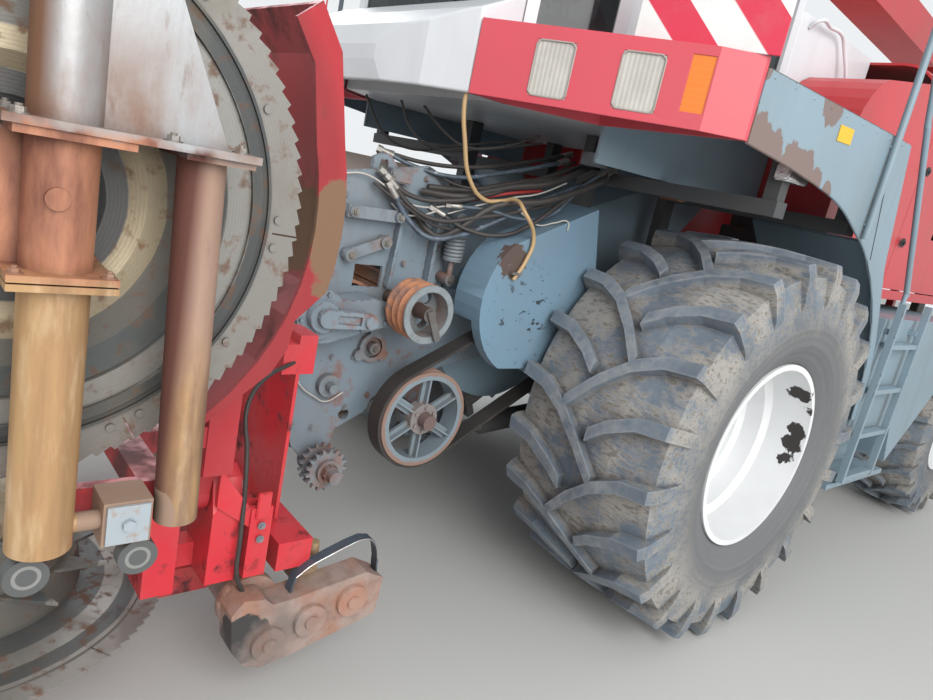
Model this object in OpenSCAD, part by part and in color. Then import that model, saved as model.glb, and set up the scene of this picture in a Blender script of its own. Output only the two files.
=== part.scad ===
// Self-propelled forage harvester with a folding rotary row-independent header.
// Frame: the machine drives towards -Y, its left side is +X, +Z is up, and the ground is at Z = 0.
// The front axle stands over Y = 0.

/* [Wheels] */
// Distance between the axles
wheelbase = 3300; // [3000:10:3500]
// Distance between the front tyre centres
front_track = 2340; // [2300:10:2440]
// Distance between the rear tyre centres
rear_track = 2380; // [2340:10:2460]
// Outer radius of a drive tyre over its lugs
front_tyre_r = 895; // [860:5:915]
// Width of a drive tyre across its tread
front_tyre_w = 750; // [680:10:780]
// Flange radius of a drive rim
front_rim_r = 432; // [400:2:450]
// Outer radius of a steered tyre over its lugs
rear_tyre_r = 700; // [660:5:720]
// Width of a steered tyre across its tread
rear_tyre_w = 460; // [420:10:480]
// Flange radius of a steered rim
rear_rim_r = 326; // [300:2:340]
// Lugs on each side of a drive tyre, an even number
front_lugs = 22; // [16:2:26]
// Lugs on each side of a steered tyre, an even number
rear_lugs = 20; // [14:2:24]
// Height of the lugs over the tread
lug_h = 46; // [30:1:55]

/* [Chassis] */
// Distance between the middles of the two main rails
rail_gap = 900; // [860:10:940]
// Width of a main rail
rail_w = 100; // [80:5:120]
// Height of a main rail
rail_h = 180; // [150:5:220]
// Underside of the main rails
rail_z = 1080; // [1050:5:1120]
// Front end of the main rails
rail_front = -420; // [-500:10:-380]
// How far the rails run past the rear axle
rail_tail = 950; // [800:10:1100]

/* [Cab] */
// Outer width of the cab
cab_w = 1700; // [1600:10:1760]
// Top of the cab floor
cab_floor = 2140; // [2120:5:2180]
// Height from the cab floor to the underside of the roof
cab_h = 1360; // [1250:10:1450]
// Front of the cab
cab_front = -1120; // [-1180:10:-1080]
// Back of the cab
cab_back = 430; // [380:10:460]
// Thickness of the cab walls and the door
cab_wall = 45; // [30:5:60]
// Thickness of a window pane
glass_t = 8; // [5:1:12]
// Thickness of the cab floor
floor_t = 25; // [20:1:40]
// Thickness of the cab roof
roof_t = 190; // [150:10:240]

/* [Platform] */
// Outer side of the platforms
deck_x = 1500; // [1470:5:1530]
// Top of the platforms
deck_top = 2335; // [2300:5:2360]
// Depth of the platform skirt above the wheel arch
skirt_h = 235; // [200:5:260]
// Front edge of the platform skirt
deck_front = -830; // [-860:5:-800]
// Rear edge of the platform skirt
deck_back = 440; // [400:5:460]
// Thickness of the sheet panels
sheet = 12; // [8:1:20]

/* [Feeder] */
// Width across the feeder side plates
feed_w = 900; // [860:10:940]
// Thickness of a feeder side plate
feed_plate = 14; // [10:1:20]
// Radius of the large spoked pulley
big_pulley_r = 205; // [180:5:220]
// Radius of the small grooved pulley
small_pulley_r = 115; // [100:1:130]
// Radius of the belt pulley on the cutting drum's shaft
chop_pulley_r = 185; // [160:1:190]
// Teeth on each header drive sprocket
sprocket_teeth = 17; // [13:1:21]

/* [Header] */
// Radius of a rotor over its knife teeth
rotor_r = 575; // [560:5:585]
// Distance between neighbouring rotors when unfolded
rotor_pitch = 1180; // [1175:5:1200]
// Height of a rotor drum over its knife disc
drum_h = 420; // [380:10:440]
// Height of the knife discs over the ground, with the header raised
knife_z = 380; // [370:5:400]
// Saw segments round a rotor
saw_segments = 6; // [4:1:12]
// Teeth round a rotor's knife disc
saw_teeth = 96; // [72:12:120]
// Distance of the rotors ahead of the front axle
rotor_ahead = 2820; // [2800:10:2900]

/* [Spout] */
// Radius of the spout's bend
bend_r = 760; // [700:10:820]
// Length of the spout's straight stretch
spout_len = 2300; // [2000:10:2500]
// Width of the spout
spout_w = 330; // [280:10:380]
// Top of the turret
turret_z = 2960; // [2900:10:3000]

/* [Hidden] */

LEFT = 1;
RIGHT = -1;
gap = 6; // running clearance between pieces that move past each other
seat_gap = 0.3; // clearance where one piece rests on another

PAINT_GREY = "#7f929c";
PAINT_RED = "#b8323a";
PAINT_WHITE = "#e8ebec";
BARE_STEEL = "#8c8a86";
RUST = "#7a4630";
RUBBER = "#26282b";
DARK = "#35383b";

// Derived places
front_x = front_track / 2;
rear_x = rear_track / 2;
rail_x = rail_gap / 2;
rail_top = rail_z + rail_h;
rail_back = wheelbase + rail_tail;
skirt_z = deck_top - skirt_h;
cab_x = cab_w / 2;
cab_under = cab_floor - floor_t;
cab_top = cab_floor + cab_h;
sill_z = cab_floor + 260;
knuckle_x = rear_x - rear_tyre_w / 2 - 60;
feed_x = feed_w / 2;
chop_y = -640;
chop_z = 1180;
chop_r = 400;
hitch_r = 25;
header_shaft_r = 27;
lift_back = [530, -200, 763]; // pin of a lift cylinder's barrel
lift_eye = [530, -1120, 673]; // pin of a lift cylinder's rod
rotor_y = -rotor_ahead;
inner_x = rotor_pitch / 2;
outer_x = 1.5 * rotor_pitch;
// The wing folds about this axis, halfway through a quarter turn between its two places
wing_x = 1280; // knife plane of a folded wing, from the middle of the machine
fold_x = 900;
fold_z = knife_z + wing_x - fold_x;
wing_z = fold_z + outer_x - fold_x;
fork_y = [-2415, -2325, -2232, -2142]; // both sides of the front and the rear fork of a wing's hinge
arm_y = [fork_y[1] + gap, fork_y[2] - gap]; // both sides of the wing's arm between them
rotor_under = wing_x + 24; // lowest face of a folded rotor
shaft_at = [-2070, 360]; // header's cross shaft
spout_y = 960;
spout_low = turret_z + 60; // foot of the spout's bend

// Points of an arc about c from angle a to angle b, in n steps
function arc(c, r, a, b, n) = [for (i = [0:n]) c + r * [cos(a + (b - a) * i / n), sin(a + (b - a) * i / n)]];

// Runs an outline in (Y, Z) across the machine from x0 to x1
module across(outline, x0, x1) {
    translate([x0, 0, 0]) rotate([90, 0, 90]) linear_extrude(x1 - x0) polygon(outline);
}

// Runs an outline in (X, Z) along the machine from y0 to y1
module along(outline, y0, y1) {
    translate([0, y1, 0]) rotate([90, 0, 0]) linear_extrude(y1 - y0) polygon(outline);
}

// Runs an outline in (X, Y) upwards from z0 to z1
module upwards(outline, z0, z1) {
    translate([0, 0, z0]) linear_extrude(z1 - z0) polygon(outline);
}

module block(low, high) {
    translate(low) cube(high - low);
}

// A round bar of radius r from a to b
module rod(a, b, r, sides = 24) {
    d = b - a;
    translate(a) rotate([0, acos(d.z / norm(d)), atan2(d.y, d.x)]) cylinder(h = norm(d), r = r, $fn = sides);
}

// A flat bar from a to b in a plane X = constant, w wide and t thick
module strap(a, b, w, t) {
    d = b - a;
    translate(a) rotate([atan2(d.z, d.y), 0, 0]) translate([0, -w / 2, -w / 2]) cube([t, norm(d) + w, w]);
}

module both_sides() {
    children();
    mirror([1, 0, 0]) children();
}

// A disc or drum about an axis along X
module wheel_drum(x0, x1, r, y, z, sides = 64) {
    translate([x0, y, z]) rotate([0, 90, 0]) cylinder(h = x1 - x0, r = r, $fn = sides);
}

// A solid of revolution about the X axis from (radius, x) points
module spun(profile, sides = 96) {
    rotate([0, 90, 0]) rotate_extrude($fn = sides) polygon(profile);
}

// Wheels are made about the X axis, with the outer face towards +X.

// Middle lines of the long and the short lugs, as (axial, circumferential) shares of the tread width
lug_foot = [[0.16, -0.11], [0.32, -0.03], [0.54, 0]];
long_lug = concat([[-0.15, -0.42], [0, -0.25]], lug_foot);
short_lug = concat([[0.06, -0.19]], lug_foot);
lug_thick = 0.075;
lug_turn = 60.5; // turn of the first long lug on the outer side, from the top towards the front

module lug(line, w) {
    outline = concat(
        [for (p = line) w * (p + [0, lug_thick / 2])],
        [for (i = [len(line) - 1:-1:0]) w * (line[i] - [0, lug_thick / 2])]);
    linear_extrude(lug_h * 8) polygon(outline);
}

// The lugs of one side stand opposite those of the other, a long one opposite a short one
module tyre(r, w, rim_r, lugs) {
    tread_r = r - lug_h;
    bead_r = rim_r - rim_lip + seat_gap;
    wall = 0.52 * w; // half width at the bulge
    bulge_r = rim_r + 0.42 * (tread_r - rim_r);
    shoulder = 0.47 * w;
    bead = 0.44 * w - seat_gap; // the bead lies between the rim's flanges
    half = [[bead_r, bead], [rim_r + 2, bead], [rim_r + 22, 0.46 * w], [bulge_r - 80, wall - 8], [bulge_r, wall],
        [bulge_r + 90, wall - 12], [tread_r - 34, shoulder], [tread_r, 0.2 * w]];
    lug_half = [[bulge_r + 60, wall - 14], [bulge_r + 120, wall - 2], [tread_r - 12, 0.51 * w], [r - 14, 0.49 * w], [r, 0.2 * w]];
    union() {
        spun(both_halves(half));
        intersection() {
            spun(both_halves(lug_half));
            for (i = [0:lugs - 1]) {
                long_outside = i % 2 == 0;
                rotate([lug_turn + 360 * i / lugs, 0, 0]) translate([0, 0, r - lug_h * 5.5]) {
                    lug(long_outside ? long_lug : short_lug, w);
                    mirror([1, 0, 0]) lug(long_outside ? short_lug : long_lug, w);
                }
            }
        }
    }
}

// A closed profile from its half at positive x
function both_halves(half) = concat([for (p = half) p], [for (i = [len(half) - 1:-1:0]) [half[i].x, -half[i].y]]);

// A dished rim whose disc bolts to a hub flange at x = face
rim_lip = 16; // height of a rim's flange over the bead's seat
module rim(rim_r, tyre_w, face, hub_r) {
    half = 0.44 * tyre_w;
    bead = rim_r - rim_lip;
    skin = 9;
    lip = half + 12;
    difference() {
        union() {
            spun([[bead, -half], [rim_r, -half], [rim_r, -lip], [bead - skin, -lip],
                [bead - skin, -0.2 * tyre_w], [bead - 60 - skin, -0.16 * tyre_w], [bead - 60 - skin, 0.02 * tyre_w],
                [bead - 34 - skin, 0.05 * tyre_w], [bead - 34 - skin, 0.17 * tyre_w], [bead - skin, 0.2 * tyre_w],
                [bead - skin, lip], [rim_r, lip], [rim_r, half], [bead, half],
                [bead, 0.2 * tyre_w + 4], [bead - 34, 0.17 * tyre_w + 4], [bead - 34, 0.05 * tyre_w],
                [bead - 60, 0.02 * tyre_w], [bead - 60, -0.16 * tyre_w], [bead, -0.2 * tyre_w]]);
            spun([[0, face], [hub_r + 40, face], [bead - 66, face - 50], [bead - 66, face - 34],
                [hub_r + 46, face + 16], [0.55 * hub_r, face + 16], [0.5 * hub_r, face + 60], [0, face + 66]]);
        }
        for (i = [0:7]) rotate([45 * i + 22.5, 0, 0]) translate([face - 60, 0, (bead - 66 + hub_r + 40) / 2])
            rotate([0, 90, 0]) cylinder(h = 120, r = 26, $fn = 24);
    }
}

// Puts a wheel piece in its place; side is LEFT or RIGHT
module at_wheel(side, x, y, z) {
    translate([side * x, y, z]) mirror([side == LEFT ? 0 : 1, 0, 0]) children();
}

front_face = -60; // where the drive rim's disc meets the hub, from the tyre's middle
rear_face = 10;
front_hub_r = 190;
rear_hub_r = 110;

module rim_front(side) {
    color(PAINT_WHITE) at_wheel(side, front_x, 0, front_tyre_r) rim(front_rim_r, front_tyre_w, front_face, front_hub_r);
}

module tyre_front(side) {
    color(RUBBER) at_wheel(side, front_x, 0, front_tyre_r) tyre(front_tyre_r, front_tyre_w, front_rim_r, front_lugs);
}

module rim_rear(side) {
    color(PAINT_WHITE) at_wheel(side, rear_x, wheelbase, rear_tyre_r) rim(rear_rim_r, rear_tyre_w, rear_face, rear_hub_r);
}

module tyre_rear(side) {
    color(RUBBER) at_wheel(side, rear_x, wheelbase, rear_tyre_r) tyre(rear_tyre_r, rear_tyre_w, rear_rim_r, rear_lugs);
}

// Two rails, their cross members, the cab and deck posts, and the tow hitch
module frame() {
    color(DARK) union() {
        both_sides() {
            block([rail_x - rail_w / 2, rail_front, rail_z], [rail_x + rail_w / 2, rail_back, rail_top]);
            for (y = [-370, 300]) {
                block([rail_x - 20, y - 40, rail_top - 5], [rail_x + 40, y + 40, cab_under - seat_gap]);
                block([rail_x - 20, y - 40, 1900], [deck_x - 60, y + 40, 1960]);
                block([deck_x - 130, y - 30, 1955], [deck_x - 70, y + 30, deck_top - 24 - seat_gap]);
            }
            for (y = [1150, 2200]) block([rail_x, y - 50, rail_z + 30], [1000, y + 50, rail_z + 110]);
            // Ears that hold the lift cylinders
            block([rail_x - 10, lift_back.y - 50, lift_back.z - 50], [rail_x + 10, lift_back.y + 50, rail_z + 5]);
            wheel_drum(rail_x, lift_back.x + 45, 24, lift_back.y, lift_back.z, 32);
        }
        for (y = [-170, 700, 1800, wheelbase - 260, wheelbase + 260, rail_back - 60])
            block([-rail_x, y - 50, rail_z + 20], [rail_x, y + 50, rail_top - 20]);
        // Pivot cradle of the steered axle
        for (y = [wheelbase - 260, wheelbase + 200]) difference() {
            along([[-160, rail_z + 60], [-130, rear_tyre_r - 130], [130, rear_tyre_r - 130], [160, rail_z + 60]], y, y + 60);
            translate([0, y - 5, rear_tyre_r]) rotate([-90, 0, 0]) cylinder(h = 70, r = 60 + seat_gap, $fn = 48);
        }
        block([-70, rail_back - 40, rail_z - 130], [70, rail_back + 30, rail_z + 60]);
        difference() {
            block([-70, rail_back + 20, rail_z - 120], [70, rail_back + 160, rail_z - 20]);
            block([-75, rail_back + 40, rail_z - 95], [75, rail_back + 165, rail_z - 45]);
            translate([0, rail_back + 110, rail_z - 130]) cylinder(h = 120, r = hitch_r, $fn = 48);
        }
    }
}

axle_r = 120;
// The drive axle with its hub flanges, and the box beam of the steered axle
module axles() {
    color(PAINT_GREY) union() {
        wheel_drum(-(front_x - 330), front_x - 330, axle_r, 0, front_tyre_r);
        wheel_drum(-190, 190, 230, 0, front_tyre_r);
        both_sides() {
            block([rail_x - 80, -110, front_tyre_r + 60], [rail_x + 80, 110, rail_z - seat_gap]);
            wheel_drum(front_x - 400, front_x + front_face - 60, 200, 0, front_tyre_r);
            wheel_drum(front_x - 300, front_x + front_face - seat_gap, 165, 0, front_tyre_r);
        }
        difference() {
            union() {
                along([[-knuckle_x + 40, rear_tyre_r - 60], [-350, rear_tyre_r - 95], [350, rear_tyre_r - 95],
                    [knuckle_x - 40, rear_tyre_r - 60], [knuckle_x - 40, rear_tyre_r + 60], [350, rear_tyre_r + 85],
                    [-350, rear_tyre_r + 85], [-knuckle_x + 40, rear_tyre_r + 60]], wheelbase - 80, wheelbase + 80);
                translate([0, wheelbase - 270, rear_tyre_r]) rotate([-90, 0, 0]) cylinder(h = 540, r = 60, $fn = 48);
                both_sides() for (z = [-92, 52])
                    block([knuckle_x - 60, wheelbase - 60, rear_tyre_r + z], [knuckle_x + 55, wheelbase + 60, rear_tyre_r + z + 40]);
            }
            both_sides() block([knuckle_x - 62, wheelbase - 90, rear_tyre_r - 52], [knuckle_x + 80, wheelbase + 90, rear_tyre_r + 52]);
        }
    }
}

// The knuckle's barrel stands between the beam's forks, and its spindle carries the rim
module knuckle(side) {
    color(DARK) at_wheel(side, knuckle_x, wheelbase, rear_tyre_r) union() {
        translate([0, 0, -52 + seat_gap]) cylinder(h = 104 - 2 * seat_gap, r = 48, $fn = 48);
        wheel_drum(20, rear_x - knuckle_x + rear_face - 30, 46, 0, 0, 48);
        wheel_drum(rear_x - knuckle_x - 40, rear_x - knuckle_x + rear_face - seat_gap, rear_hub_r - 20, 0, 0, 48);
    }
}

// The engine across the rear rails, with its sump, heads and cooler
module engine() {
    color(DARK) union() {
        block([-390, 2350, rail_top + 200], [390, 3500, 1860]);
        block([-250, 2450, rail_top - 160], [250, 2960, rail_top + 210]);
        block([-250, 2900, rail_top + 10], [250, 3400, rail_top + 210]);
        for (y = [2420, 3380]) block([-rail_x - 40, y, rail_top + seat_gap], [rail_x + 40, y + 90, rail_top + 210]);
        both_sides() block([120, 2420, 1850], [360, 3440, 2130]);
        block([-780, 3780, 1760], [780, 3980, 2560]);
        both_sides() block([700, 3800, rail_top], [760, 3960, 1765]);
        both_sides() block([rail_x - 40, 3820, rail_top + seat_gap], [765, 3940, rail_top + 60]);
    }
}

body_x = 1250; // outer side of the body panels
body_low = 1620;
body_high = 2880;
body_front = 1300;
body_back = 4240;
door_front = 1420;
door_back = 2480;
door_low = 1680;
door_high = 2600;
side_hinges = [1780, 2440];

// Half of the body's cross-section, from its low edge over the rounded shoulder
function body_edge(inset) = concat(
    [[body_x - inset, body_low]],
    arc([body_x - 220, body_high - 220], 220 - inset, 0, 90, 6));

module body_section(inset, low) {
    half = body_edge(inset);
    polygon(concat([for (p = half) [p.x, max(p.y, low)]], [for (i = [len(half) - 1:-1:0]) [-half[i].x, max(half[i].y, low)]]));
}

// The red rear body: a shell over the engine with louvred ends, and a fairing behind each platform
module body_panels() {
    color(PAINT_RED) union() {
        difference() {
            translate([0, body_back, 0]) rotate([90, 0, 0]) linear_extrude(body_back - body_front) body_section(0, body_low);
            translate([0, body_back - sheet, 0]) rotate([90, 0, 0]) linear_extrude(body_back - body_front)
                translate([0, -1]) body_section(sheet, body_low - 5);
            both_sides() block([body_x - 60, door_front - gap, door_low - gap],
                [body_x + 20, door_back + gap, door_high + gap]);
            // Radiator opening in the rear wall
            block([-800, body_back - 60, 1800], [800, body_back + 20, 2600]);
        }
        for (z = [1840:95:2600]) block([-805, body_back - 34, z], [805, body_back - 8, z + 34]);
        for (x = [-400, 400]) block([x - 15, body_back - 40, 1795], [x + 15, body_back - 10, 2605]);
        both_sides() for (z = side_hinges) wall_hinge(body_x, door_back, z);
        both_sides() {
            difference() {
                across(concat([[450, 1960], [450, 2345]], arc([770, 2345], 320, 180, 110, 6),
                    [[body_front + 5, 2770], [body_front + 5, body_low], [960, body_low], [700, 1760]]), cab_x + gap, body_x);
                across(concat([[450 + sheet, 1700], [450 + sheet, 2345]], arc([770, 2345], 320 - sheet, 180, 110, 6),
                    [[body_front + 15, 2770 - sheet], [body_front + 15, body_low - 100]]), cab_x, body_x - sheet);
            }
            // Stays from the rear shell to the rails
            for (y = [1500, 4060]) {
                block([rail_x - 30, y, rail_top + seat_gap], [rail_x + 30, y + 60, body_low + 60]);
                block([rail_x - 30, y, body_low], [body_x - 5, y + 60, body_low + 50]);
            }
        }
    }
}

// Hinges stand outside a wall at x: the lower barrel with its pin is the wall's, the upper one the door's
hinge_out = 10;
hinge_back = 3;
module wall_hinge(x, back, z) {
    at = [x + hinge_out, back + hinge_back, z];
    translate(at) cylinder(h = 40, r = 8, $fn = 24);
    translate(at) cylinder(h = 78, r = 4, $fn = 24);
    block([x - 5, at.y + 5, z], [x + 5, at.y + 22, z + 40]);
    block([x - 5, at.y - 2, z], [at.x, at.y + 8, z + 40]);
}

module door_hinge(x, back, z) {
    at = [x + hinge_out, back + hinge_back, z + 40 + seat_gap];
    difference() {
        union() {
            translate(at) cylinder(h = 40, r = 8, $fn = 24);
            block([x - 5, at.y - 14, at.z], [at.x, at.y - 5, at.z + 40]);
        }
        translate([at.x, at.y, at.z - 5]) cylinder(h = 50, r = 4 + seat_gap, $fn = 24);
    }
}

// The white casing behind the cab, round the foot of the spout
module rear_cabinet() {
    top = turret_z - 60;
    color(PAINT_WHITE) difference() {
        block([-cab_x, cab_back + gap, deck_top], [cab_x, body_front - gap, top]);
        block([-cab_x + sheet, cab_back + gap + sheet, deck_top - 5], [cab_x - sheet, body_front - gap - sheet, top - sheet]);
        block([-260, spout_y - 290, top - 40], [260, spout_y + 290, top + 5]);
    }
}

// One side door, in its frame on the left; rear edge hinged
module side_door(side) {
    color(PAINT_RED) mirror([side == LEFT ? 0 : 1, 0, 0]) union() {
        difference() {
            block([body_x - 36, door_front, door_low], [body_x, door_back, door_high]);
            block([body_x - 46, door_front + 40, door_low + 40], [body_x - 14, door_back - 40, door_high - 40]);
            for (z = [0:6]) block([body_x - 30, door_front + 520, door_low + 330 + 70 * z],
                [body_x + 5, door_back - 160, door_low + 366 + 70 * z]);
        }
        for (z = side_hinges) door_hinge(body_x, door_back, z);
    }
}

// The side boxes: a fuel tank on each side, with a rear chamfer over the steered wheel and a step below
tank_back = 2380;
tank_front = front_tyre_r + 85;
module tanks() {
    color(PAINT_GREY) both_sides() {
        union() {
            difference() {
                across([[tank_front, 620], [1500, 600], [1760, 640], [2240, 1060], [tank_back, 1300], [tank_back, 1550],
                    [tank_front, 1550]], 1000 + seat_gap, deck_x - 20);
                across([[tank_front - 20, 590], [1770, 590], [1770, 655], [1640, 900], [tank_front - 20, 900]],
                    deck_x - 190, deck_x + 5);
            }
            block([1100, tank_front - 60, 590], [deck_x, 1720, 620]);
            block([1100, tank_front - 60, 590], [1112, 1720, 700]);
        }
    }
}

cab_plan = [[-cab_x, cab_back], [cab_x, cab_back], [cab_x, cab_front + 330], [cab_x - 230, cab_front], [-cab_x + 230, cab_front],
    [-cab_x, cab_front + 330]];
function shrunk(plan, t) = [[plan[0].x + t, plan[0].y - t], [plan[1].x - t, plan[1].y - t], [plan[2].x - t, plan[2].y + t * 0.3],
    [plan[3].x - t * 0.3, plan[3].y + t], [plan[4].x + t * 0.3, plan[4].y + t], [plan[5].x + t, plan[5].y + t * 0.3]];
cab_door_low = deck_top + 12;
cab_door_front = -700;
cab_door_back = 120;
cab_hinges = [2450, 3180];
header_z = cab_top - 110; // top of the windows

// Everything that a window or the doorway takes out of the cab's walls, grown by e
module cab_openings(e = 0) {
    z0 = sill_z - e;
    z1 = header_z + e;
    w = cab_x - 230 - 45 + e;
    block([-w, cab_front - 40, z0], [w, cab_front + cab_wall + 40, z1]);
    both_sides() {
        // Raked corner pane between the windscreen and the side
        translate([cab_x - 115, cab_front + 165, z0]) rotate([0, 0, -124.9])
            translate([-150 - e, -60, 0]) cube([300 + 2 * e, 120, z1 - z0]);
    }
    block([-cab_x - 20, cab_front + 420 - e, z0], [-cab_x + cab_wall + 20, cab_back - 90 + e, z1]);
    block([cab_x - cab_wall - 20, 175 - e, z0 + 160], [cab_x + 20, cab_back - 60 + e, z1]);
    block([-cab_x + 130 - e, cab_back - cab_wall - 20, z0 + 120], [cab_x - 130 + e, cab_back + 20, z1]);
}

module cab_shell() {
    color(PAINT_WHITE) union() {
        difference() {
            upwards(cab_plan, cab_under, cab_top);
            upwards(shrunk(cab_plan, cab_wall), cab_floor, cab_top + 5);
            cab_openings();
            block([cab_x - cab_wall - 30, cab_door_front - gap, cab_door_low - gap],
                [cab_x + 30, cab_door_back + gap, header_z + gap]);
        }
        for (z = cab_hinges) wall_hinge(cab_x, cab_door_back, z);
    }
}

module cab_glass() {
    color([0.2, 0.24, 0.26, 0.5]) intersection() {
        difference() {
            upwards(shrunk(cab_plan, cab_wall / 2 - glass_t / 2), sill_z, header_z);
            upwards(shrunk(cab_plan, cab_wall / 2 + glass_t / 2), sill_z - 5, header_z + 5);
        }
        cab_openings();
    }
}

module cab_roof() {
    color(PAINT_WHITE) union() {
        difference() {
            upwards([[-cab_x - 40, cab_back + 60], [cab_x + 40, cab_back + 60], [cab_x + 60, cab_front + 250],
                [cab_x - 200, cab_front - 150], [-cab_x + 200, cab_front - 150], [-cab_x - 60, cab_front + 250]],
                cab_top + seat_gap, cab_top + roof_t - 50);
            for (x = [-620, -370, 370, 620]) block([x - 80, cab_front - 200, cab_top + 30], [x + 80, cab_front - 60, cab_top + 115]);
        }
        upwards([[-cab_x + 20, cab_back + 10], [cab_x - 20, cab_back + 10], [cab_x - 10, cab_front + 270],
            [cab_x - 260, cab_front - 60], [-cab_x + 260, cab_front - 60], [-cab_x + 10, cab_front + 270]],
            cab_top + roof_t - 55, cab_top + roof_t);
    }
}

// The door is a frame round one pane, with a closed foot
module cab_door() {
    x0 = cab_x - cab_wall;
    color(PAINT_WHITE) union() {
        difference() {
            block([x0, cab_door_front, cab_door_low], [cab_x, cab_door_back, header_z]);
            block([x0 - 5, cab_door_front + 60, cab_door_low + 80], [cab_x + 5, cab_door_back - 60, header_z - 60]);
        }
        rod([cab_x + 34, cab_door_front + 30, sill_z + 60], [cab_x + 34, cab_door_front + 30, sill_z + 300], 9);
        for (z = [70, 290]) rod([cab_x - 5, cab_door_front + 30, sill_z + z], [cab_x + 34, cab_door_front + 30, sill_z + z], 8);
        for (z = cab_hinges) door_hinge(cab_x, cab_door_back, z);
    }
}

module door_glass() {
    x = cab_x - cab_wall / 2;
    color([0.2, 0.24, 0.26, 0.5]) block([x - glass_t / 2, cab_door_front + 60, cab_door_low + 80],
        [x + glass_t / 2, cab_door_back - 60, header_z - 60]);
}

module cab_interior() {
    color(DARK) union() {
        block([-250, -150, cab_floor + seat_gap], [250, 250, cab_floor + 330]);
        block([-260, -230, cab_floor + 325], [260, 280, cab_floor + 460]);
        across([[180, cab_floor + 440], [330, cab_floor + 450], [372, cab_floor + 1080], [250, cab_floor + 1080]], -240, 240);
        block([-130, -820, cab_floor + seat_gap], [130, -640, cab_floor + 220]);
        rod([0, -740, cab_floor + 200], [0, -500, cab_floor + 700], 36);
        translate([0, -490, cab_floor + 710]) rotate([-25.6, 0, 0]) rotate_extrude($fn = 48) translate([205, 0]) circle(r = 16, $fn = 16);
        translate([0, -490, cab_floor + 710]) rotate([-25.6, 0, 0]) for (a = [30, 150, 270]) rotate([0, 0, a])
            translate([0, -14, -8]) cube([205, 28, 16]);
        block([-780, -500, cab_floor + seat_gap], [-420, 200, cab_floor + 520]);
    }
}

// The white cowl under the windscreen, a hollow moulding with a bowed front
module cowl() {
    back = cab_front - 10;
    color(PAINT_WHITE) difference() {
        intersection() {
            across([[back, 2105], [-1440, 2105], [-1455, 2230], [-1425, 2330], [-1340, 2400], [-1180, 2480], [back, 2490]], -636, 636);
            upwards([[-636, back], [636, back], [636, -1328], [430, -1405], [150, -1450], [-150, -1450], [-430, -1405], [-636, -1328]],
                2100, 2500);
        }
        intersection() {
            across([[back + 5, 2100], [-1440 + sheet, 2100], [-1455 + sheet, 2230], [-1420, 2320], [-1335, 2387], [-1180, 2467],
                [back + 5, 2477]], -636 + sheet, 636 - sheet);
            upwards([[-624, back + 5], [624, back + 5], [624, -1320], [426, -1393], [150, -1438], [-150, -1438], [-426, -1393],
                [-624, -1320]], 2095, 2495);
        }
    }
}

// The red lamp mouldings at both front corners of the platforms
bar_start = [645, -1330];
bar_turn = [1395, -958];
bar_dir = (bar_turn - bar_start) / norm(bar_turn - bar_start);
bar_low = 2105;
bar_high = 2366;
function on_bar(s, deep) = bar_start + s * bar_dir + deep * [-bar_dir.y, bar_dir.x];
// Lamp pockets on the bar's face: start, end, low, high
headlamps = [[225, 367, 2133, 2318], [532, 677, 2134, 2318]];
amber = [757, 832, 2156, 2334];

module on_face(lamp, deep0, deep1, grow = 0) {
    upwards([on_bar(lamp[0] - grow, deep0), on_bar(lamp[1] + grow, deep0), on_bar(lamp[1] + grow, deep1),
        on_bar(lamp[0] - grow, deep1)], lamp[2] - grow, lamp[3] + grow);
}

module light_bar() {
    back = deck_front - seat_gap;
    color(PAINT_RED) both_sides() difference() {
        upwards([[645, -1150], bar_start, bar_turn, [deck_x - 4, back - 20], [deck_x - 4, back], [862, back]], bar_low, bar_high);
        upwards([[645 + sheet, -1145], on_bar(sheet, sheet), on_bar(830, sheet), [deck_x - 16, back - 25],
            [deck_x - 16, back - sheet], [866, back - sheet]], bar_low - 5, bar_high - sheet);
        for (lamp = headlamps) on_face(lamp, -5, 40);
        on_face(amber, -5, 40);
    }
}

module lamps() {
    color("#d9d6cc") union() {
        both_sides() {
            for (lamp = headlamps) on_face(lamp, 3, 60, -seat_gap);
            for (x = [370, 620]) block([x - 80 + seat_gap, cab_front - 120, cab_top + 30 + seat_gap],
                [x + 80 - seat_gap, cab_front - 60 - seat_gap, cab_top + 115 - seat_gap]);
        }
    }
}

module amber_lamps() {
    color("#d96a1e") both_sides() {
        on_face(amber, 3, 60, -seat_gap);
        // Tail lamps on the rear wall
        block([body_x - 160, body_back + seat_gap, 1900], [body_x - 60, body_back + 40, 2120]);
    }
}

// The platforms beside the cab: a deck, an arched skirt and the liner over the drive tyre
// A place about the drive axle, clear of the tyre by so much
function on_arch(angle, clear) = [0, front_tyre_r] + (front_tyre_r + clear) * [cos(angle), sin(angle)];
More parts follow.
